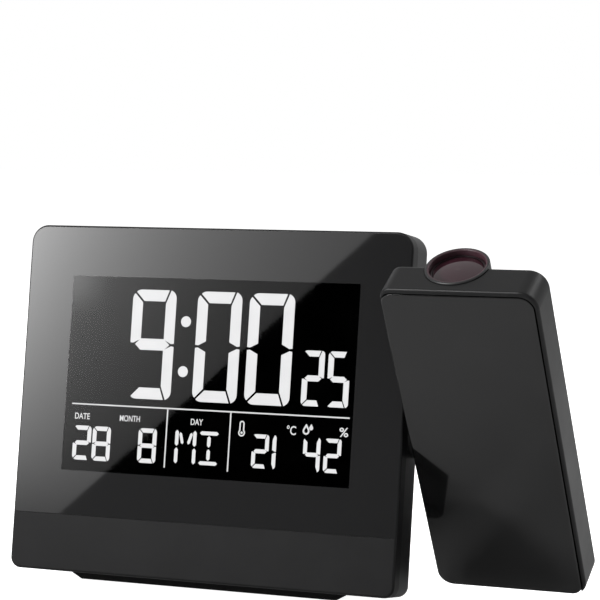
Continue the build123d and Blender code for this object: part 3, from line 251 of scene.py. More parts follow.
def prism(
    name: str, datum: Datum, outlines: list[np.ndarray], near: float, far: float,
) -> Object:
    """Flat plates of given outlines, from depth near to depth far.

    Args:
        name: The piece's name.
        datum: The slab that they lie in.
        outlines: Counter-clockwise rings of x, h; each is a plate of its own.
        near: Depth of the front face.
        far: Depth of the back face.

    Returns:
        One object that holds all the plates.
    """
    points, faces, first = [], [], 0
    for ring in outlines:
        middle, end = first + len(ring), first + 2 * len(ring)
        points += [datum.place(*ring.T, depth) for depth in (far, near)]
        faces += [*(strip_faces(2, len(ring)) + first), range(first, middle)[::-1], range(middle, end)]
        first = end
    return mesh_piece(name, np.concatenate(points), faces, smooth=False)


def banded_prism(
    name: str, datum: Datum, outer: np.ndarray, inner: np.ndarray, near: float, far: float,
) -> Object:
    """A flat closed band between two rings of the same number of points."""
    rings = [(outer, far), (outer, near), (inner, near), (inner, far)]
    points = np.stack([datum.place(*ring.T, depth) for ring, depth in rings])
    return mesh_piece(name, points, strip_faces(4, len(outer), closed=True), smooth=False)


@dataclass(frozen=True)
class Axis:
    """A line in the frame that round pieces turn about."""

    foot: Vector
    along: Vector
    side: Vector

    def turned(self, name: str, profile: np.ndarray, ripple: np.ndarray) -> Object:
        """Turn a closed profile about the axis.

        A point is foot + z along + r (cos a side + sin a other), with a in equal steps. A ripple
        is taken from r, one value for each profile point and step.

        Args:
            name: The piece's name.
            profile: Pairs z, r in millimetres; z rises on the outside and falls on the inside.
            ripple: Depths cut into the surface, profile points by steps round the axis.

        Returns:
            A closed surface.
        """
        z, r = profile.T
        turn = full_turn(ripple.shape[1])
        radius = r[:, None] - ripple
        other = np.array(self.along.cross(self.side))
        spread = np.cos(turn)[:, None] * np.array(self.side) + np.sin(turn)[:, None] * other
        points = radius[..., None] * spread[None] + z[:, None, None] * np.array(self.along)
        points = points * MILLIMETRE + np.array(self.foot)
        return mesh_piece(name, points, strip_faces(len(z), len(turn), closed=True))


LENS = Axis(ARM.spot(LENS_ACROSS, 0, ARM_DEPTH - LENS_SETBACK), Vector(ARM.up), Vector(ARM.across))


# ---- shaders

class Wire:
    """A node's output, which takes part in sums as a number would."""

    def __init__(self, graph: "Graph", socket: NodeSocket) -> None:
        """Keep the socket and the graph that new Math nodes join."""
        self.graph = graph
        self.socket = socket

    def _math(self, operation: str, first: "Wire | float", second: "Wire | float") -> "Wire":
        """Add one Math node."""
        return self.graph.node("Math", {0: first, 1: second}, operation=operation)

    def __add__(self, other: "Wire | float") -> "Wire":
        """Sum."""
        return self._math("ADD", self, other)

    def __sub__(self, other: "Wire | float") -> "Wire":
        """Difference."""
        return self._math("SUBTRACT", self, other)

    def __rsub__(self, other: float) -> "Wire":
        """Difference with the wire second, so that 1 - mask works."""
        return self._math("SUBTRACT", other, self)

    def __mul__(self, other: "Wire | float") -> "Wire":
        """Product."""
        return self._math("MULTIPLY", self, other)

    def above(self, edge: float, soft: float) -> "Wire":
        """A mask: 0 below the edge, 1 above it, with a soft step between."""
        inputs = {"Value": self, "From Min": edge - soft / 2, "From Max": edge + soft / 2}
        return self.graph.node("MapRange", inputs, interpolation_type="SMOOTHSTEP", clamp=True)

    def beyond(self, edge: float, soft: float) -> "Wire":
        """The same mask for a length in metres, by an edge and a step in millimetres."""
        return self.above(edge * MILLIMETRE, soft * MILLIMETRE)

    __radd__ = __add__
    __rmul__ = __mul__


@dataclass(frozen=True)
class Uneven:
    """A value that soft noise raises above its least: the noise's size in millimetres, and its detail."""

    size: float
    spread: float
    least: float
    detail: float = 2.0


class Graph:
    """A new material's node tree."""

    def __init__(self, name: str) -> None:
        """Start an empty material."""
        self.material = bpy.data.materials.new(name)
        self.material.use_nodes = True
        self.tree = self.material.node_tree
        self.tree.nodes.clear()

    @classmethod
    def around(cls, tree: NodeTree) -> "Graph":
        """Start an empty tree that something else owns, such as a world."""
        graph = cls.__new__(cls)
        graph.tree = tree
        tree.nodes.clear()
        return graph

    def node(
        self, kind: str, inputs: dict, output: int | str | None = 0, **settings: str | bool,
    ) -> Wire | None:
        """Add a shader node.

        Args:
            kind: The node's type, without the ShaderNode that all types begin with.
            inputs: Values or wires by socket name or number.
            output: Which output the wire stands for.
            settings: Properties to set before the inputs.

        Returns:
            A wire on the output, or nothing where the node has none.
        """
        new = self.tree.nodes.new(f"ShaderNode{kind}")
        for key, value in settings.items():
            setattr(new, key, value)
        for key, value in inputs.items():
            if isinstance(value, Wire):
                self.tree.links.new(value.socket, new.inputs[key])
            else:
                new.inputs[key].default_value = value
        return None if output is None else Wire(self, new.outputs[output])

    def seen(self, camera: float, glossy: float, rest: float) -> Wire:
        """A strength that differs for what the camera sees, what gloss mirrors and what light falls."""
        direct = self.node("LightPath", {}, "Is Camera Ray")
        mirrored = self.node("LightPath", {}, "Is Glossy Ray")
        return direct * (camera - rest) + mirrored * (glossy - rest) + rest

    def place(self) -> Wire:
        """Object coordinates, in metres."""
        return self.node("TexCoord", {}, "Object")

    def slab(self) -> tuple[Wire, Wire, Wire]:
        """The clock slab's own coordinates x, up and deep, in metres: place turned by the lean."""
        place = self.place()
        x, y, z = (self.node("SeparateXYZ", {"Vector": place}, axis) for axis in "XYZ")
        back, rise = y - FRONT_Y * MILLIMETRE, z - BODY_LIFT * MILLIMETRE
        up = back * sin(BODY_LEAN) + rise * cos(BODY_LEAN)
        deep = back * cos(BODY_LEAN) - rise * sin(BODY_LEAN)
        return x, up, deep

    def radius(self, axis: "Axis") -> Wire:
        """Distance from an axis, in metres: the length of (place - foot) x along."""
        offset = self.node("VectorMath", {0: self.place(), 1: axis.foot}, operation="SUBTRACT")
        across = self.node("VectorMath", {0: offset, 1: axis.along}, operation="CROSS_PRODUCT")
        return self.node("VectorMath", {0: across}, "Value", operation="LENGTH")

    def noise(self, size: float, detail: float = 2.0, stretch: tuple = (1.0, 1.0, 1.0)) -> Wire:
        """Noise from 0 to 1 with lumps about size millimetres across."""
        scaled = self.node("Mapping", {"Vector": self.place(), "Scale": stretch})
        inputs = {"Vector": scaled, "Scale": 1 / (size * MILLIMETRE), "Detail": detail}
        return self.node("TexNoise", inputs)

    def varied(self, value: Uneven) -> Wire:
        """An uneven value, as a wire."""
        return self.noise(value.size, value.detail) * value.spread + value.least

    def waves(self, direction: str, vector: Wire, pitch: float, distortion: float) -> Wire:
        """Bands from 0 to 1 across one direction, a little under two pitches of millimetres apart."""
        inputs = {"Vector": vector, "Scale": 1 / (pitch * MILLIMETRE) / WAVE_SPAN, "Distortion": distortion}
        return self.node("TexWave", inputs, "Fac", bands_direction=direction)

    def mix(self, mask: Wire, first: tuple, second: tuple) -> Wire:
        """A colour between two, by a mask."""
        inputs = {"Factor": mask, 6: (*first, 1.0), 7: (*second, 1.0)}
        return self.node("Mix", inputs, 2, data_type="RGBA")

    def bump(self, height: Wire, depth: float) -> Wire:
        """A normal from a height of 0 to 1 that stands for depth millimetres."""
        inputs = {"Height": height, "Distance": depth * MILLIMETRE, "Strength": 1.0}
        return self.node("Bump", inputs, "Normal")

    def principled(self, **sockets: "Wire | float | tuple") -> Material:
        """Finish the material with one Principled shader, its sockets given with _ for spaces."""
        inputs = {key.replace("_", " "): value for key, value in sockets.items()}
        return self.close(self.node("BsdfPrincipled", inputs))

    def close(self, shader: Wire) -> Material:
        """Join a shader to the output."""
        self.node("OutputMaterial", {"Surface": shader}, None)
        return self.material


# Two numbers of a finish are, for a mask, its edge and soft step; for pale, a factor and a lift; for
# dust, the noise's size and detail; for a grain or crease, its size and depth; and for polish, the
# roughness's spread and its least. Sizes and depths are millimetres.

def shade(tone: tuple[float, ...], factor: float, lift: float = 0.0) -> tuple[float, ...]:
    """A tone made darker or paler."""
    return tuple(c * factor + lift for c in tone)


@dataclass(frozen=True)
class Moulded:
    """Moulded plastic or rubber: a spark-eroded grain, faint flow marks and uneven sheen."""

    name: str
    tone: Triple
    roughness: float = 0.5
    grain: float = 0.35
    depth: float = 0.02
    sheen_spread: float = 0.08
    gloss: float = 0.35
    patch: float = 18.0
    coarse: float = 3.2
    coarse_share: float = 0.3
    pale: Pair = (1.22, 0.002)
    pale_mask: Pair = (0.52, 0.5)

    def material(self) -> Material:
        """Two sizes of noise make the grain's height; a third, larger one varies tone and sheen."""
        graph = Graph(self.name)
        patches = graph.noise(self.patch, 3.0)
        fine, coarse = graph.noise(self.grain, 2.0), graph.noise(self.grain * self.coarse, 1.0)
        height = fine * (1 - self.coarse_share) + coarse * self.coarse_share
        return graph.principled(
            Base_Color=graph.mix(patches.above(*self.pale_mask), self.tone, shade(self.tone, *self.pale)),
            Roughness=patches * (2 * self.sheen_spread) + (self.roughness - self.sheen_spread),
            Normal=graph.bump(height, self.depth),
            Specular_IOR_Level=self.gloss,
        )


@dataclass(frozen=True)
class BareMetal:
    """Turned, drawn or plated metal with fine tool marks along one axis."""

    name: str
    tone: Triple
    roughness: float = 0.3
    marks: Triple = (1.0, 1.0, 12.0)
    mark: float = 1.6
    patch: float = 5.0
    dull: float = 0.72
    dull_mask: Pair = (0.55, 0.4)
    mark_sheen: float = 0.2
    patch_sheen: float = 0.12
    sheen_middle: float = 0.14
    mark_depth: float = 0.01

    def material(self) -> Material:
        """Noise drawn out along one axis makes the marks; large patches dull the metal."""
        graph = Graph(self.name)
        marks = graph.noise(self.mark, 3.0, self.marks)
        patches = graph.noise(self.patch, 2.0)
        sheen = marks * self.mark_sheen + patches * self.patch_sheen
        return graph.principled(
            Base_Color=graph.mix(patches.above(*self.dull_mask), self.tone, shade(self.tone, self.dull)),
            Metallic=1.0,
            Roughness=sheen + (self.roughness - self.sheen_middle),
            Normal=graph.bump(marks, self.mark_depth),
        )


@dataclass(frozen=True)
class ClearGlass:
    """Coated glass or clear resin that shows what lies behind it."""

    name: str
    tone: Triple
    ior: float = 1.5
    transmission: float = 0.85
    dust: Pair = (0.6, 4.0)
    dull: float = 0.9
    dull_mask: Pair = (0.6, 0.3)
    polish: Pair = (0.06, 0.01)

    def material(self) -> Material:
        """Fine dust makes the polish a little uneven."""
        graph = Graph(self.name)
        dust, (spread, least) = graph.noise(*self.dust), self.polish
        return graph.principled(
            Base_Color=graph.mix(dust.above(*self.dull_mask), self.tone, shade(self.tone, self.dull)),
            Roughness=dust * spread + least,
            IOR=self.ior,
            Transmission_Weight=self.transmission,
        )


@dataclass(frozen=True)
class CoatedLens:
    """A lens whose coating throws back a pale rose light."""

    name: str
    tone: Triple = (0.04, 0.011, 0.018)
    # painted shade: the darker tone at the lens's rim, where the ring's bore shades it
    rim: Triple = (0.012, 0.004, 0.006)
    shade_start_radius: float = 8.5
    rim_shade_soft: float = 0.7
    ior: float = 1.6
    polish: Uneven = Uneven(0.8, 0.06, 0.03, 4.0)

    def material(self) -> Material:
        """Painted shade: the tone darkens towards the rim, where the ring's bore shades the lens, by the
        distance from the lens's axis.
        """
        graph = Graph(self.name)
        # painted shade: the mask that darkens the lens towards its rim
        outer = graph.radius(LENS).beyond(self.shade_start_radius, self.rim_shade_soft)
        return graph.principled(
            Base_Color=graph.mix(outer, self.tone, self.rim),
            Roughness=graph.varied(self.polish),
            IOR=self.ior,
        )


@dataclass(frozen=True)
class BoardMask:
    """Solder mask over fine copper tracks, seen as low ridges in two directions."""

    name: str
    tone: Triple
    pitch: float = 1.3
    wander: float = 1.4
    patch: float = 9.0
    patch_mask: Pair = (0.5, 0.02)
    track_mask: Pair = (0.7, 0.2)
    track_depth: float = 0.03
    pale: Pair = (1.7, 0.01)
    polish: Uneven = Uneven(3.0, 0.15, 0.22)

    def material(self) -> Material:
        """Two wave bands at right angles are the tracks; noise chooses which way they run."""
        graph = Graph(self.name)
        place = graph.place()
        level, upright = (graph.waves(axis, place, self.pitch, self.wander) for axis in "XZ")
        which = graph.noise(self.patch, 1.0).above(*self.patch_mask)
        tracks = (level * which + upright * (1 - which)).above(*self.track_mask)
        return graph.principled(
            Base_Color=graph.mix(tracks, self.tone, shade(self.tone, *self.pale)),
            Roughness=graph.varied(self.polish),
            Normal=graph.bump(tracks, self.track_depth),
        )


@dataclass(frozen=True)
class CellWrap:
    """The printed sleeve of a dry cell: a dark barrel with a copper-coloured end."""

    name: str
    dark: Triple = (0.02, 0.022, 0.025)
    copper: Triple = (0.55, 0.26, 0.1)
    parting: float = 43.25
    ends: Pair = (-34.5, -12.0)
    soft: float = 0.2
    crease: Pair = (1.2, 0.008)
    copper_metal: float = 0.6
    polish: Uneven = Uneven(2.0, 0.1, 0.24)

    def material(self) -> Material:
        """The copper end is the left one of the cell below the parting height, the right one above."""
        graph = Graph(self.name)
        x, up, _ = graph.slab()
        upper = up.beyond(self.parting, self.soft)
        left, right = (x.beyond(end, self.soft) for end in self.ends)
        end = upper * right + (1 - upper) * (1 - left)
        size, depth = self.crease
        return graph.principled(
            Base_Color=graph.mix(end, self.dark, self.copper),
            Roughness=graph.varied(self.polish),
            Metallic=end * self.copper_metal,
            Normal=graph.bump(graph.noise(size), depth),
        )


@dataclass(frozen=True)
class PanePrint:
    """Polished acrylic, printed black behind except for a clear window over the display."""

    name: str
    window: Box
    ink: Triple = (0.0255, 0.0255, 0.026)
    clear_share: float = 0.47
    # painted reflection: how much more the window's upper left corner mirrors, where, and how soft its edge
    # is
    painted_reflection_share: float = 0.33
    painted_reflection_spot: Pair = (-48.0, 100.0)
    painted_reflection_soft: float = 18.0
    edge: float = 0.25
    print_deep: float = 0.5
    print_soft: float = 0.1
    ior: float = 1.49
    polish: Uneven = Uneven(30.0, 0.02, 0.015, 4.0)

    def material(self) -> Material:
        """Mask the window with four steps along x and up; behind print_deep it is clear.

        In front of that the window throws back clear_share of the gloss, and more in its upper left
        corner, where it is made more opaque: a painted reflection.
        """
        graph = Graph(self.name)
        x, up, deep = graph.slab()
        left, right, low, high = self.window
        inside = (
            x.beyond(left, self.edge) * (1 - x.beyond(right, self.edge))
            * up.beyond(low, self.edge) * (1 - up.beyond(high, self.edge))
        )
        across, rise = self.painted_reflection_spot
        # painted reflection: the window is made more opaque towards its upper left corner, so that the pane
        # mirrors more of the card there
        corner = (1 - x.beyond(across, self.painted_reflection_soft)) * up.beyond(rise, self.painted_reflection_soft)
        front = 1 - deep.beyond(self.print_deep, self.print_soft)
        share = front * (corner * self.painted_reflection_share + self.clear_share)
        return graph.principled(
            Base_Color=graph.mix(inside, self.ink, (0.0, 0.0, 0.0)),
            Roughness=graph.varied(self.polish),
            Alpha=(1 - inside) + inside * share,
            IOR=self.ior,
        )


@dataclass(frozen=True)
class Lit:
    """A lit display segment, seen through a black liquid-crystal mask."""

    name: str
    level: float
    strength: float = 1.8
    patch: float = 7.0
    spread: float = 0.08
    cool: float = 1.01
    mask: Triple = (0.02, 0.02, 0.02)

    def material(self) -> Material:
        """The backlight is a little uneven, by large soft noise."""
        graph = Graph(self.name)
        level = graph.varied(Uneven(self.patch, self.spread, self.level - self.spread / 2, 1.0))
        colour = graph.node("CombineColor", {0: level, 1: level, 2: level * self.cool})
        return graph.principled(
            Base_Color=(*self.mask, 1.0), Roughness=0.4, Specular_IOR_Level=0.0,
            Emission_Color=colour, Emission_Strength=self.strength,
        )


@dataclass(frozen=True)
class WoundWire:
    """Enamelled wire wound round a rod that runs up the slab."""

    name: str
    tone: Triple
    pitch: float = 0.5
    wander: float = 0.1
    turn_depth: float = 0.15
    # painted shade: how dark the tone is made between the turns
    dark: float = 0.35
    metal: float = 0.8
    polish: Pair = (0.2, 0.25)

    def material(self) -> Material:
        """Bands across the rod's length are the turns, in coordinates that lean with the slab; the tone
        darkens between turns, where the bump dips: painted shade.
        """
        graph = Graph(self.name)
        inputs = {"Vector": graph.place(), "Rotation": (-BODY_LEAN, 0, 0)}
        turns = graph.waves("Z", graph.node("Mapping", inputs), self.pitch, self.wander)
        spread, least = self.polish
        return graph.principled(
            Base_Color=graph.mix(turns, shade(self.tone, self.dark), self.tone),
            Metallic=self.metal, Roughness=turns * spread + least, Normal=graph.bump(turns, self.turn_depth),
        )


Finish = Moulded | BareMetal | ClearGlass | CoatedLens | BoardMask | CellWrap | PanePrint | Lit | WoundWire


def dress(node: str, material: Material) -> None:
    """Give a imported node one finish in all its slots."""
    for slot in frame["nodes"][node].material_slots:
        slot.material = material


def wear(piece: Object, material: Material) -> None:
    """Give a new piece one finish."""
    piece.data.materials.clear()
    piece.data.materials.append(material)


# ---- display

class Segment(Enum):
    """The bars of a seven-bar digit, by their usual letters: clockwise from the top, middle last."""

    TOP = "a"
    HIGH_RIGHT = "b"
    LOW_RIGHT = "c"
    BOTTOM = "d"
    LOW_LEFT = "e"
    HIGH_LEFT = "f"
    MIDDLE = "g"


DIGITS = {0: "abcdef", 1: "bc", 2: "abged", 4: "fbgc", 5: "afgcd", 8: "abcdefg", 9: "abcdfg"}


@dataclass(frozen=True)
class DigitStyle:
    """The shape of one size of digit, in millimetres.

    Shares are shares of a bar's thickness; a part is how many half gaps a slanting cut takes.
    """

    width: float
    height: float
    bar: float
    corner: float
    gap: float
    tip_share: float = 0.27
    tail_share: float = 0.46
    cut_share: float = 0.62
    corner_part: float = 1.4
    middle_part: float = 1.6

    def bars(self, digit: int, left: float, low: float) -> list[np.ndarray]:
        """Outlines of a digit's lit bars.

        A bar is a polygon between the mitre lines that part it from its neighbours. The lines run
        from the ring's inner corners to its outer edge: through the round corner on the left, and
        to the top or bottom edge on the right. Bars meet in points at half height.

        Args:
            digit: Which digit it is.
            left: Its left side.
            low: Its lower side.

        Returns:
            One counter-clockwise ring of x, h for each bar.
        """
        w, top, bar, r, g = self.width, self.height, self.bar, self.corner, self.gap / 2
        half, tip, tail, cut = top / 2, bar * self.tip_share, bar * self.tail_share, self.cut_share * bar
        part, split = self.corner_part * g, r * (1 - np.sqrt(0.5))
        arc = quarter_turn(7)
        right_arc = unit_circle(arc) * r + (w - r, top - r)
        left_arc = np.column_stack([r - np.cos(arc[:4]) * r, top - r + np.sin(arc[:4]) * r])
        top_arc = np.column_stack([r - np.cos(arc[3:]) * r, top - r + np.sin(arc[3:]) * r])
        high_right = np.vstack([
            [(w - bar, top - bar - 2 * g), (w - bar, half + tail), (w - tip, half + g), (w, half + tip / 2)],
            right_arc[right_arc[:, 0] > w - cut + g],
            [(w - cut + g, top)],
        ])
        high_left = np.vstack([
            [(bar, half + tail), (bar, top - bar - part)],
            (left_arc - (0.0, part))[::-1],
            [(0.0, half + tip / 2), (tip, half + g)],
        ])
        upper = np.vstack([
            [(bar + part, top - bar), (w - bar - g, top - bar), (w - cut - g, top)],
            (top_arc + (part, 0.0))[::-1],
        ])
        wide = self.middle_part * g
        flip = np.array([1.0, -1.0])
        shapes = {
            Segment.TOP: upper,
            Segment.HIGH_RIGHT: high_right,
            Segment.HIGH_LEFT: high_left,
            Segment.BOTTOM: (upper * flip + (0.0, top))[::-1],
            Segment.LOW_RIGHT: (high_right * flip + (0.0, top))[::-1],
            Segment.LOW_LEFT: (high_left * flip + (0.0, top))[::-1],
            Segment.MIDDLE: np.array([
                (tip + wide + split / 4, half), (bar, half - bar / 2), (w - bar, half - bar / 2),
                (w - tip - wide, half), (w - bar, half + bar / 2), (bar, half + bar / 2),
            ]),
        }
        return [shapes[Segment(letter)] + (left, low) for letter in DIGITS[digit]]


def stroke(start: tuple, end: tuple, wide: float, point: float = 0.0) -> np.ndarray:
    """A bar between two points, with ends pointed by the given length."""
    start, end = np.array(start, float), np.array(end, float)
    along = (end - start) / np.linalg.norm(end - start)
    side = np.array([-along[1], along[0]]) * wide / 2
    inner, outer = start + along * point, end - along * point
    return np.array([inner - side, outer - side, end, outer + side, inner + side, start])


def disc(centre: tuple, radius: float, steps: int = 36) -> np.ndarray:
    """A circle's ring of points."""
    return unit_circle(full_turn(steps)) * radius + centre


@dataclass
class Display:
    """What the display shows, as thin plates on the cell's front, and the pane over it.

    Lengths are millimetres in the slab's plane; front and back are the plates' depths.
    """

    front: float = 1.71
    back: float = 1.745
    big: DigitStyle = DigitStyle(17.8, 40.3, 4.2, 3.0, 0.8)
    seconds: DigitStyle = DigitStyle(8.4, 19.9, 2.15, 1.3, 0.42)
    date: DigitStyle = DigitStyle(7.5, 12.7, 1.62, 1.4, 0.38)
    climate: DigitStyle = DigitStyle(6.6, 12.2, 1.48, 1.1, 0.36)
    rule_height: float = 62.1
    rule_half: float = 55.6
    rule_thick: float = 0.5
    divider_low: float = 40.5
    divider_gap: float = 0.05
    dividers: tuple[float, ...] = (-16.0, 9.4)
    dot_radius: float = 2.0
    dots: tuple[Pair, ...] = ((-10.9, 94.1), (-10.9, 75.8))
    letter_rows: Triple = (42.3, 48.4, 54.5)
    letter_bar: float = 1.35
    letter_tip: float = 0.7
    letter_part: float = 0.3
    first_sides: Pair = (-11.6, -4.4)
    slants: tuple = (((-10.3, 53.7), (-9.2, 49.4)), ((-5.6, 53.7), (-7.0, 49.4)))
    slant_bar: float = 1.1
    slant_tip: float = 0.6
    second_sides: Pair = (-2.4, 5.1)
    second_stem: float = 1.35
    stem_part: float = 0.25
    label_tall: float = 2.25
    label_swell: float = 0.012
    pane_box: Box = (-75.8, 75.8, 21.0, 127.8)
    pane_thick: float = 1.48
    pane_corner: float = 5.8
    pane_foot_corner: float = 0.6
    pane_bevel: float = 0.05
    pane_lip: float = 0.6
    lip_edge: float = 0.04
    lip_proud: float = 0.03
    view_box: Box = (-57.5, 57.5, 37.4, 109.7)
    lit: Lit = Lit("segment_white", 0.86)
    lit_fine: Lit = Lit("label_white", 0.8)

    def show(self, name: str, outlines: list[np.ndarray], material: Material) -> None:
        """Add lit plates of the given outlines."""
        self.fix(prism(name, SLAB, outlines, self.front, self.back), material)

    def fix(self, piece: Object, material: Material) -> None:
        """Light a piece and let it ride with the clock."""
        wear(piece, material)
        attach(piece, "clock")
        log.info("display: %s", piece.name)

    def digits(self, material: Material) -> None:
        """Add all the digits, each a piece of its own, and the colon.

        The warmth's 1 has bars only on its right, so they are moved aside to start at its left.
        """
        rows = (
            (self.big, (
                ("hour", 9, -33.1, 65.1), ("minute_tens", 0, -6.6, 65.1), ("minute_ones", 0, 14.2, 65.1),
            )),
            (self.seconds, (("second_tens", 2, 36.4, 65.6), ("second_ones", 5, 46.2, 65.6))),
            (self.date, (
                ("date_tens", 2, -54.3, 41.4), ("date_ones", 8, -46.2, 41.4), ("month", 8, -27.3, 41.7),
            )),
            (self.climate, (
                ("warmth_tens", 2, 18.5, 42.4), ("damp_tens", 4, 38.5, 42.3), ("damp_ones", 2, 46.5, 42.3),
            )),
        )
        for style, places in rows:
            for name, *place in places:
                self.show(f"digit_{name}", style.bars(*place), material)
        aside = (self.climate.width - self.climate.bar, 0.0)
        self.show("digit_warmth_ones", [bar - aside for bar in self.climate.bars(1, 26.5, 42.4)], material)
        self.show("colon", [disc(spot, self.dot_radius) for spot in self.dots], material)

    def letters(self, material: Material) -> None:
        """Add the weekday's two letters, drawn with straight bars; the uprights part at half height."""
        bar, tip, part, gap = self.letter_bar, self.letter_tip, self.letter_part, self.stem_part
        low, half, high = self.letter_rows
        uprights = ((low, half - part), (half + part, high))
        first = [stroke((x, foot), (x, head), bar, tip) for x in self.first_sides for foot, head in uprights]
        first += [stroke(head, foot, self.slant_bar, self.slant_tip) for head, foot in self.slants]
        self.show("letter_first", first, material)
        (left, right), x = self.second_sides, self.second_stem
        second = [stroke((left, h), (right, h), bar, tip) for h in (low + bar / 2, high - bar / 2)]
        second += [stroke((x, low + bar + gap), (x, half - part), bar, tip),
                   stroke((x, half + part), (x, high - bar - gap), bar, tip)]
        self.show("letter_second", second, material)

    def rules(self, material: Material) -> None:
        """Add the long rule and the two dividers under it."""
        level, reach, thick = self.rule_height, self.rule_half, self.rule_thick
        top = level - thick / 2 - self.divider_gap
        bars = [stroke((-reach, level), (reach, level), thick)]
        bars += [stroke((x, self.divider_low), (x, top), thick) for x in self.dividers]
        self.show("display_rules", bars, material)

    def label(
        self, name: str, words: str, left: float, low: float, width: float, tall: float,
        material: Material,
    ) -> None:
        """Add a small printed label.

        Args:
            name: The piece's name.
            words: What it says.
            left: Its left side.
            low: Its base line.
            width: Its whole width.
            tall: Height of its capitals.
            material: Its finish.
        """
        curve = bpy.data.curves.new(name, "FONT")
        curve.body, curve.offset = words, self.label_swell
        maker = link(bpy.data.objects.new(name, curve))
        bpy.context.view_layer.update()
        mesh = bpy.data.meshes.new_from_object(maker.evaluated_get(bpy.context.evaluated_depsgraph_get()))
        bpy.data.objects.remove(maker)
        flat = np.zeros(len(mesh.vertices) * 3)
        mesh.vertices.foreach_get("co", flat)
        flat = flat.reshape(-1, 3)
        low_corner, high_corner = flat.min(0), flat.max(0)
        scaled = (flat - low_corner) / (high_corner - low_corner + (0, 0, 1)) * (width, tall, 1)
        points = SLAB.place(scaled[:, 0] + left, scaled[:, 1] + low, self.front)
        mesh.vertices.foreach_set("co", points.ravel())
        mesh.update()
        piece = link(bpy.data.objects.new(name, mesh))
        solid = piece.modifiers.new("thickness", "SOLIDIFY")
        solid.thickness = (self.back - self.front) * MILLIMETRE
        solid.offset = -1.0
        self.fix(piece, material)

    def labels(self, material: Material) -> None:
        """Add the labels over the lower row."""
        tall = self.label_tall
        rows = (
            ("label_date", "DATE", -54.1, 56.5, 6.2, tall), ("label_month", "MONTH", -35.4, 56.5, 8.3, tall),
            ("label_day", "DAY", -6.4, 56.6, 4.9, tall), ("label_degree", "°C", 31.7, 55.0, 3.6, 3.4),
            ("label_percent", "%", 52.0, 55.3, 3.4, 3.3),
        )
        for row in rows:
            self.label(*row, material)

    def icons(self, material: Material) -> None:
        """Add the thermometer, as an even outline round its bulb, and the two drops.

        The thermometer is an arc of a wide circle below, straight sides and half a narrow circle
        above. A drop is a circle whose upper part is drawn out: its rise grows with the cube of the
        direction's height.
        """
        line, middle, stem, bulb, core, low, high = 0.5, 14.08, 0.75, 1.1, 0.45, 54.8, 58.1
        rings = []
        for reach in (line / 2, -line / 2):
            wide, narrow = bulb + reach, stem + reach
            foot = np.linspace(-pi / 2, np.arccos(narrow / wide), 24)
            cap = quarter_turn(12)
            x = np.concatenate([wide * np.cos(foot), narrow * np.cos(cap)])
            h = np.concatenate([low + wide * np.sin(foot), high + narrow * np.sin(cap)])
            rings.append(np.column_stack([np.append(x, -x[-2:0:-1]) + middle, np.append(h, h[-2:0:-1])]))
        self.fix(banded_prism("icon_thermometer", SLAB, *rings, self.front, self.back), material)
        self.show("icon_thermometer_bulb", [disc((middle, low), core, 20)], material)
        turn = full_turn(48)
        tip = np.maximum(-np.cos(turn), 0) ** 3
        shape = np.column_stack([np.sin(turn) * (1 - 0.45 * tip), tip * 0.9 - np.cos(turn)])
        spot, small_spot, hollow, size, small_size = (39.2, 56.7), (41.1, 57.8), 0.72, 1.32, 0.75
        inner, outer = shape * hollow + spot, shape * size + spot
        self.fix(banded_prism("icon_drop", SLAB, outer, inner, self.front, self.back), material)
        self.show("icon_drop_small", [shape * small_size + small_spot], material)

    def pane(self) -> None:
        """Replace the pane with one whose thin lip lies on the frame's rim and is rounded off."""
        edge, lip, top = self.lip_edge, self.pane_lip, self.lip_proud
        bevel, back = self.pane_bevel, self.pane_thick
        corners = (self.pane_foot_corner,) * 2 + (self.pane_corner,) * 2
        profile = [(lip + bevel, back), (lip, back - bevel), (lip, edge), (0.0, edge)]
        profile += [(edge * (1 - cos(a)), edge - (edge + top) * sin(a)) for a in quarter_turn(5)[1:]]
        piece = rimmed_plate("window_pane", SLAB, self.pane_box, corners, profile)
        wear(piece, PanePrint("window_print", self.view_box).material())
        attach(piece, "clock")
        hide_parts("display_window")
        log.info("display: %s", piece.name)

    def build(self) -> None:
        """Add everything."""
        bright, fine = self.lit.material(), self.lit_fine.material()
        self.digits(bright)
        self.letters(bright)
        self.rules(fine)
        self.labels(fine)
        self.icons(fine)
        self.pane()


# ---- casing and works

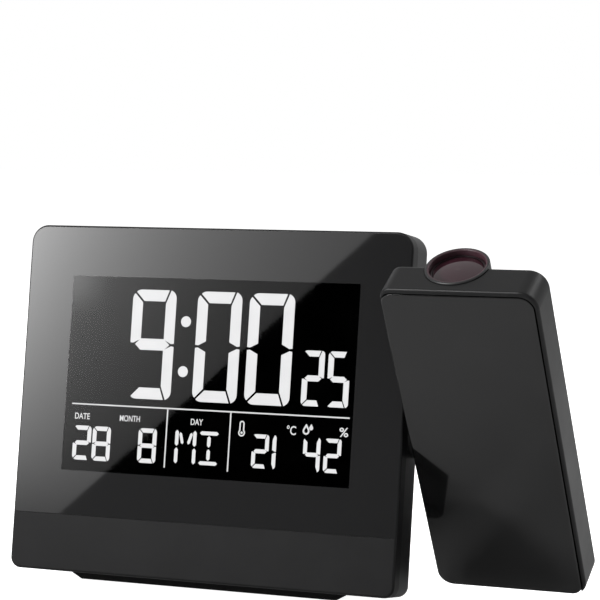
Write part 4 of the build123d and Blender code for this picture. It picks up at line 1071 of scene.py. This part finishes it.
@dataclass
class Casing:
    """The clock's shells, foot, buttons and the works inside them."""

    shell: Moulded = Moulded("shell_black", (0.0055, 0.0055, 0.0058), 0.4, 0.32, 0.01, gloss=0.4)
    bezel: Moulded = Moulded("bezel_black", (0.0045, 0.0045, 0.0048), 0.42, 0.32, 0.01, gloss=0.2)
    arm: Moulded = Moulded("arm_black", (0.0055, 0.0055, 0.0058), 0.4, 0.32, 0.01, gloss=0.25)
    panel: Moulded = Moulded("panel_polish", (0.0042, 0.0042, 0.0044), 0.07, 0.8, 0.0008, 0.02, gloss=0.5)
    key: Moulded = Moulded("key_black", (0.008, 0.008, 0.0085), 0.35, 0.25, 0.008, gloss=0.5)
    foot: Moulded = Moulded("foot_black", (0.0055, 0.0055, 0.0057), 0.55, 0.4, 0.02, gloss=0.15)

    def finishes(self) -> dict[Finish, tuple[str, ...]]:
        """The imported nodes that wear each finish."""
        green = BoardMask("board_green", (0.012, 0.1, 0.035))
        steel = BareMetal("screw_steel", (0.62, 0.62, 0.6))
        black_steel = BareMetal("screw_black", (0.06, 0.06, 0.062), 0.4)
        nickel = BareMetal("contact_nickel", (0.68, 0.66, 0.6), 0.25)
        chip = Moulded("chip_black", (0.02, 0.02, 0.021), 0.45, 0.5, 0.01)
        milk = Moulded("milk_white", (0.75, 0.75, 0.73), 0.4, 0.5, 0.008)
        cable = Moulded("cable_jacket", (0.018, 0.018, 0.018), 0.4, 1.5, 0.02)
        # painted light: the dark red in this tone stands for the projector's red light inside the lens tube
        # and carrier
        tube = Moulded("tube_black", (0.02, 0.012, 0.014), 0.35, 0.3, 0.01)
        return {
            self.shell: ("rear_cover", "battery_door"),
            self.bezel: ("front_frame",),
            self.arm: ("arm_shell",),
            self.panel: ("arm_panel",),
            self.key: (
                "snooze_bar", "alarm_button", "set_button", "minus_button", "plus_button", "light_button",
                "projector_button",
            ),
            self.foot: ("base_foot", "hinge_shaft"),
            Moulded("pad_rubber", (0.014, 0.014, 0.014), 0.75, 0.6, 0.04, gloss=0.2): ("foot_pads",),
            green: ("main_board", "snooze_board", "radio_module", "climate_sensor"),
            BoardMask("board_white", (0.7, 0.7, 0.67), 2.0): ("led_strip", "led_board"),
            steel: ("board_screws", "hub_screws", "hinge_clip", "hinge_spring", "quartz_crystal"),
            black_steel: ("case_screws", "foot_screws", "arm_screws"),
            nickel: ("battery_plates", "battery_springs"),
            chip: ("processor", "button_switches", "snooze_switch", "buzzer", "dc_jack"),
            milk: ("lcd_holder", "cable_plug", "reflector_sheet"),
            Moulded("bush_acetal", (0.02, 0.02, 0.02), 0.3, 0.8, 0.004, gloss=0.5): ("hinge_bush",),
            Moulded("washer_acetal", (0.7, 0.7, 0.68), 0.3, 0.8, 0.004): ("hinge_washer",),
            Moulded("contact_rubber", (0.2, 0.1, 0.1), 0.6, 0.2, 0.03): ("contact_strips",),
            Moulded("ferrite", (0.045, 0.045, 0.05), 0.6, 0.8, 0.03): ("antenna_rod",),
            WoundWire("coil_copper", (0.6, 0.25, 0.09)): ("antenna_coil",),
            CellWrap("cell_wrap"): ("batteries",),
            cable: ("body_cable", "arm_cable"),
            tube: ("lens_tube", "lens_carrier"),
            Moulded("display_cell", (0.0004, 0.0004, 0.0004), 0.3, 4.0, 0.001, gloss=0.0): (
                "lcd_cell", "projection_lcd",
            ),
            ClearGlass("clear_acrylic", (0.9, 0.92, 0.92)): ("light_guide",),
            ClearGlass("condenser_glass", (0.8, 0.75, 0.76)): ("condenser_lens",),
            ClearGlass("lamp_resin", (0.9, 0.35, 0.35)): ("projector_led",),
            CoatedLens("lens_glass"): ("focus_lens",),
        }

    def build(self) -> None:
        """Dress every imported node."""
        for finish, nodes in self.finishes().items():
            material = finish.material()
            for node in nodes:
                dress(node, material)
                log.info("dressed: %s in %s", node, finish.name)


@dataclass
class FocusRing:
    """The ring that turns to focus: a smooth band above and finger grips below."""

    low: float = 119.5
    high: float = 129.0
    outer: float = 11.2
    bore: float = 9.7
    edge: float = 0.5
    foot_edge: float = 0.2
    grips: int = 30
    grip_steps: int = 12
    grip_deep: float = 0.35
    grip_round: float = 0.7
    grip_high: float = 124.2
    grip_fade: float = 0.5
    groove: Pair = (120.8, 121.8)
    groove_deep: float = 0.6
    tone: Triple = (0.02, 0.02, 0.021)
    # painted light: the dark red that the projector's beam throws into the bore, and how soft its edge is
    painted_beam_red: Triple = (0.06, 0.024, 0.033)
    painted_beam_soft: float = 0.3
    grain: Pair = (0.25, 0.006)
    gloss: float = 0.4
    polish: Uneven = Uneven(2.0, 0.1, 0.32)

    def material(self) -> Material:
        """Black outside, and painted red light of the projector's beam in the bore, parted by the distance
        from the lens's axis.
        """
        graph = Graph("ring_black")
        # painted light: the mask of the bore, where the projector's red light is painted
        outside = graph.radius(LENS).beyond(self.bore + 1.2 * self.edge, self.painted_beam_soft)
        size, depth = self.grain
        return graph.principled(
            Base_Color=graph.mix(outside, self.painted_beam_red, self.tone),
            Roughness=graph.varied(self.polish),
            Normal=graph.bump(graph.noise(size), depth),
            Specular_IOR_Level=self.gloss,
        )

    def profile(self) -> np.ndarray:
        """Pairs z, r round the ring's section, up the outside and down the bore."""
        high, outer, bore, edge = self.high, self.outer, self.bore, self.edge
        over = [(high - edge + edge * sin(a), outer - edge + edge * cos(a)) for a in quarter_turn(7)]
        inner = [(high - edge + edge * cos(a), bore + edge - edge * sin(a)) for a in quarter_turn(7)]
        wall = [(z, outer) for z in np.linspace(self.low + self.foot_edge, self.grip_high + 0.6, 22)]
        groove_low, groove_high = self.groove
        deep = bore + self.groove_deep
        inside = [(groove_high, bore), (groove_high, deep), (groove_low, deep), (groove_low, bore)]
        inside += [(self.low, bore), (self.low, outer - self.foot_edge)]
        return np.roll(wall + over + inner + inside, 1, axis=0)

    def build(self) -> None:
        """Cut the grips with a raised cosine round the ring that fades out at their upper end."""
        profile = self.profile()
        turn = full_turn(self.grips * self.grip_steps)
        wave = np.clip(np.cos(turn * self.grips), 0, None) ** self.grip_round
        fade = np.clip((self.grip_high - profile[:, 0]) / self.grip_fade, 0, 1)
        fade = fade * fade * (3 - 2 * fade) * (profile[:, 1] > self.outer - 0.3)
        piece = LENS.turned("grip_ring", profile, fade[:, None] * wave[None] * self.grip_deep)
        wear(piece, self.material())
        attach(piece, "focus_control")
        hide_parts("focus_ring")
        log.info("projector: %s", piece.name)


@dataclass
class ScrewHeads:
    """Painted shade of the cross recesses on the screws that show from behind and below: thin dark plus signs
    that stand a little proud of the heads.
    """

    # painted shade: the near-black finish stands for the shade inside a cross recess
    finish: BareMetal = BareMetal("recess_painted_shade", (0.012, 0.012, 0.012), 0.6)
    reach: float = 1.35
    slot: float = 0.5
    proud: float = 0.03
    case_depth: float = 14.6
    case_spots: tuple = ((-68.1, 9.1), (-68.1, 119.4), (68.1, 9.1), (68.1, 119.4))
    arm_depth: float = 13.25
    arm_spots: tuple = ((6.5, 9.0), (6.5, 116.0), (47.0, 9.0), (47.0, 116.0))
    foot_height: float = 0.9
    foot_spots: tuple = ((-38.0, 1.78), (38.0, 1.78))

    def cross(self, spot: Pair) -> np.ndarray:
        """A plus sign round a spot: the three corners of one arm, turned by each quarter."""
        half = self.slot / 2
        corner = np.array([(self.reach, -half), (self.reach, half), (half, half)])
        turn = np.arange(4) * pi / 2
        across, up = corner[:, 0], corner[:, 1]
        x = across * np.cos(turn)[:, None] - up * np.sin(turn)[:, None]
        h = across * np.sin(turn)[:, None] + up * np.cos(turn)[:, None]
        return np.stack([x, h], -1).reshape(-1, 2) + spot

    def build(self) -> None:
        """Add the dark crosses, painted shade of the recesses, for each group of screws."""
        material = self.finish.material()
        below = Datum((0.0, 0.0, 0.0), (1.0, 0.0, 0.0), (0.0, -1.0, 0.0), (0.0, 0.0, 1.0))
        case, arm, foot, proud = self.case_depth, self.arm_depth, self.foot_height, self.proud
        groups = (
            ("case_recess_shade", SLAB, self.case_spots, case, case + proud, "clock"),
            ("arm_recess_shade", ARM, self.arm_spots, arm, arm + proud, "projector_arm"),
            ("foot_recess_shade", below, self.foot_spots, foot - proud, foot, "clock"),
        )
        for name, datum, spots, near, far, body in groups:
            piece = prism(name, datum, [self.cross(spot) for spot in spots], near, far)
            wear(piece, material)
            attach(piece, body)
            log.info("screws: %s", name)


# ---- stage

def heading(turn: float, rise: float) -> Vector:
    """A direction in degrees: turn from the front towards the right, rise from the floor."""
    turn, rise = radians(turn), radians(rise)
    return Vector((sin(turn) * cos(rise), -cos(turn) * cos(rise), sin(rise)))


@dataclass(frozen=True)
class Softbox:
    """A square lamp that looks at the clock's middle: it lights, or it only shows in glossy edges.

    Turn and rise are degrees, as for heading; away and side are metres, and power is watts.
    """

    name: str
    turn: float
    rise: float
    away: float
    side: float
    power: float
    mirrored: bool = False

    def build(self, target: Vector) -> None:
        """Hang the lamp and turn it towards the target."""
        toward = heading(self.turn, self.rise)
        data = bpy.data.lights.new(self.name, "AREA")
        data.energy, data.size, data.shape = self.power, self.side, "SQUARE"
        lamp = link(bpy.data.objects.new(self.name, data))
        lamp.location = target + toward * self.away
        lamp.visible_glossy, lamp.visible_diffuse = self.mirrored, not self.mirrored
        lamp.rotation_euler = toward.to_track_quat("Z", "Y").to_euler()


@dataclass
class Studio:
    """Camera, floor, lamps, and the card and curtain that the pane mirrors.

    The eye, the target, card_away, curtain_gap and floor_half are metres; the other lengths of the
    card and the curtain are millimetres in the pane's plane. A glow is three strengths, as for
    Graph.seen.
    """

    eye: Triple = (0.3616, -0.7824, 0.1714)
    camera_turn: float = 23.04
    camera_rise: float = 4.43
    lens: float = 140.6
    film: float = 36.0
    clip: Pair = (0.01, 50.0)
    target: Triple = (0.0, -0.01, 0.07)
    card_away: float = 1.3
    card_width: float = 150.0
    card_edge: tuple = ((61.7, 128.3), (-57.6, 20.5))
    card_bright: float = 10.3
    card_dim: float = 0.6
    card_reach: float = 48.0
    card_drop: float = 113.0
    card_steps: int = 24
    card_ends: Pair = (-0.35, 1.35)
    most_right: float = 1.4
    most_down: float = 1.2
    curtain_box: Box = (-110, 110, 5, 160)
    curtain_gap: float = 0.1
    floor_half: float = 6.0
    floor_glow: Triple = (1.0, 0.14, 0.0)
    world_glow: Triple = (1.0, 0.6, 0.1)
    lamps: tuple[Softbox, ...] = (
        Softbox("key", -60.0, 14.0, 1.5, 0.3, 20.0),
        Softbox("right_back", 118.0, 10.0, 1.2, 0.5, 6.0),
        Softbox("overhead", 180.0, 80.0, 1.3, 0.9, 8.0),
        Softbox("back_left", -140.0, 30.0, 1.4, 0.5, 7.0),
        Softbox("edge_light", -31.0, 40.0, 1.3, 0.4, 14.0, mirrored=True),
        Softbox("corner_light", 132.0, 46.0, 1.2, 0.3, 1.6, mirrored=True),
    )

    def camera(self) -> None:
        """Set the camera: it looks against its heading, with its sides level."""
        turn, back = radians(self.camera_turn), heading(self.camera_turn, self.camera_rise)
        data = bpy.data.cameras.new("camera")
        data.lens, data.sensor_width, data.sensor_height = self.lens, self.film, self.film
        data.clip_start, data.clip_end = self.clip
        camera = link(bpy.data.objects.new("camera", data))
        side = Vector((cos(turn), sin(turn), 0.0))
        basis = Matrix((side, back.cross(side), back)).transposed().to_4x4()
        camera.matrix_world = Matrix.Translation(Vector(self.eye)) @ basis
        bpy.context.scene.camera = camera

    def floor(self) -> None:
        """Lay a pale floor that the camera sees nearly white, with the clock's shadow kept."""
        corners = np.array([(-1, -1, 0), (1, -1, 0), (1, 1, 0), (-1, 1, 0)]) * self.floor_half
        piece = mesh_piece("floor", corners, [[0, 1, 2, 3]], smooth=False)
        graph = Graph("floor_white")
        plain = graph.node("BsdfDiffuse", {"Color": (0.8, 0.8, 0.8, 1.0)})
        inputs = {"Color": (1, 1, 1, 1), "Strength": graph.seen(*self.floor_glow)}
        glow = graph.node("Emission", inputs)
        wear(piece, graph.close(graph.node("AddShader", {0: plain, 1: glow})))

    def world(self) -> None:
        """A white backdrop, which glossy surfaces mirror and which lights the rest weakly."""
        world = bpy.data.worlds.new("studio")
        bpy.context.scene.world = world
        world.use_nodes = True
        graph = Graph.around(world.node_tree)
        inputs = {"Color": (1, 1, 1, 1), "Strength": graph.seen(*self.world_glow)}
        back = graph.node("Background", inputs)
        graph.node("OutputWorld", {"Surface": back}, None)

    def mirrored_patch(self, name: str, spot: np.ndarray, away: float) -> Object:
        """A sheet that the pane mirrors to the camera.

        The camera's mirror image in the pane looks through the pane's own points, so a point x, h
        of the pane shows the sheet where that sight line ends.

        Args:
            name: The sheet's name.
            spot: A grid of points x, h in the pane's plane.
            away: How far the sight lines run on from the pane, in metres.

        Returns:
            The sheet, which lights nothing by itself and casts no shadow.
        """
        eye = np.array(self.eye)
        point, normal = SLAB.place(0, 0, 0), -np.array(SLAB.deep)
        mirrored = eye - 2 * np.dot(eye - point, normal) * normal
        seen = SLAB.place(spot[..., 0], spot[..., 1], 0)
        ray = seen - mirrored
        points = seen + ray / np.linalg.norm(ray, axis=-1, keepdims=True) * away
        rows, columns = spot.shape[:2]
        here = (np.arange(rows - 1)[:, None] * columns + np.arange(columns - 1)[None, :]).ravel()
        faces = np.stack([here, here + 1, here + columns + 1, here + columns], -1)
        piece = mesh_piece(name, points, faces)
        piece.visible_diffuse = piece.visible_shadow = False
        return piece

    def card(self) -> None:
        """Stand a graded card and a black curtain where the pane mirrors them.

        The card's near edge is the line between two points of the pane, and it reaches away from it
        to the left. Its light falls off exponentially to the right and evenly downwards:
        dim + bright exp(-distance from the left side / reach) (1 - distance from the top / drop).
        """
        first, second = (np.array(p) for p in self.card_edge)
        length = np.linalg.norm(first - second)
        along = (first - second) / length
        aside = np.array([-along[1], along[0]])
        steps = self.card_steps
        u, v = np.meshgrid(np.linspace(0, 1, steps), np.linspace(*self.card_ends, steps), indexing="ij")
        spot = second + along * (v * length)[..., None]
        spot = spot + aside * (u * self.card_width)[..., None]
        piece = self.mirrored_patch("mirror_card", spot, self.card_away)
        right = np.exp(-(spot[..., 0] + BODY_WIDTH / 2) / self.card_reach)
        down = np.clip(1 - (BODY_HEIGHT - spot[..., 1]) / self.card_drop, 0, self.most_down)
        level = (self.card_dim + self.card_bright * np.clip(right, 0, self.most_right) * down).ravel()
        glow = piece.data.attributes.new("glow", "FLOAT", "POINT")
        glow.data.foreach_set("value", level.astype(np.float32))
        graph = Graph("card_glow")
        strength = graph.node("Attribute", {}, "Fac", attribute_name="glow")
        wear(piece, graph.close(graph.node("Emission", {"Strength": strength})))
        left, right, low, high = self.curtain_box
        spot = np.stack(np.meshgrid((left, right), (low, high)), -1).astype(float)
        curtain = self.mirrored_patch("mirror_curtain", spot, self.card_away + self.curtain_gap)
        graph = Graph("curtain_black")
        wear(curtain, graph.close(graph.node("BsdfDiffuse", {"Color": (0.0, 0.0, 0.0, 1.0)})))

    def build(self) -> None:
        """Set everything that isn't the clock."""
        bpy.context.scene.view_settings.view_transform = "Standard"
        self.camera()
        self.floor()
        self.world()
        self.card()
        for lamp in self.lamps:
            lamp.build(Vector(self.target))


def main() -> None:
    """Build the pieces in order."""
    logging.basicConfig(level=logging.INFO, format="%(message)s")
    Studio().build()
    Casing().build()
    FocusRing().build()
    ScrewHeads().build()
    Display().build()


if __name__ == "__main__":
    main()
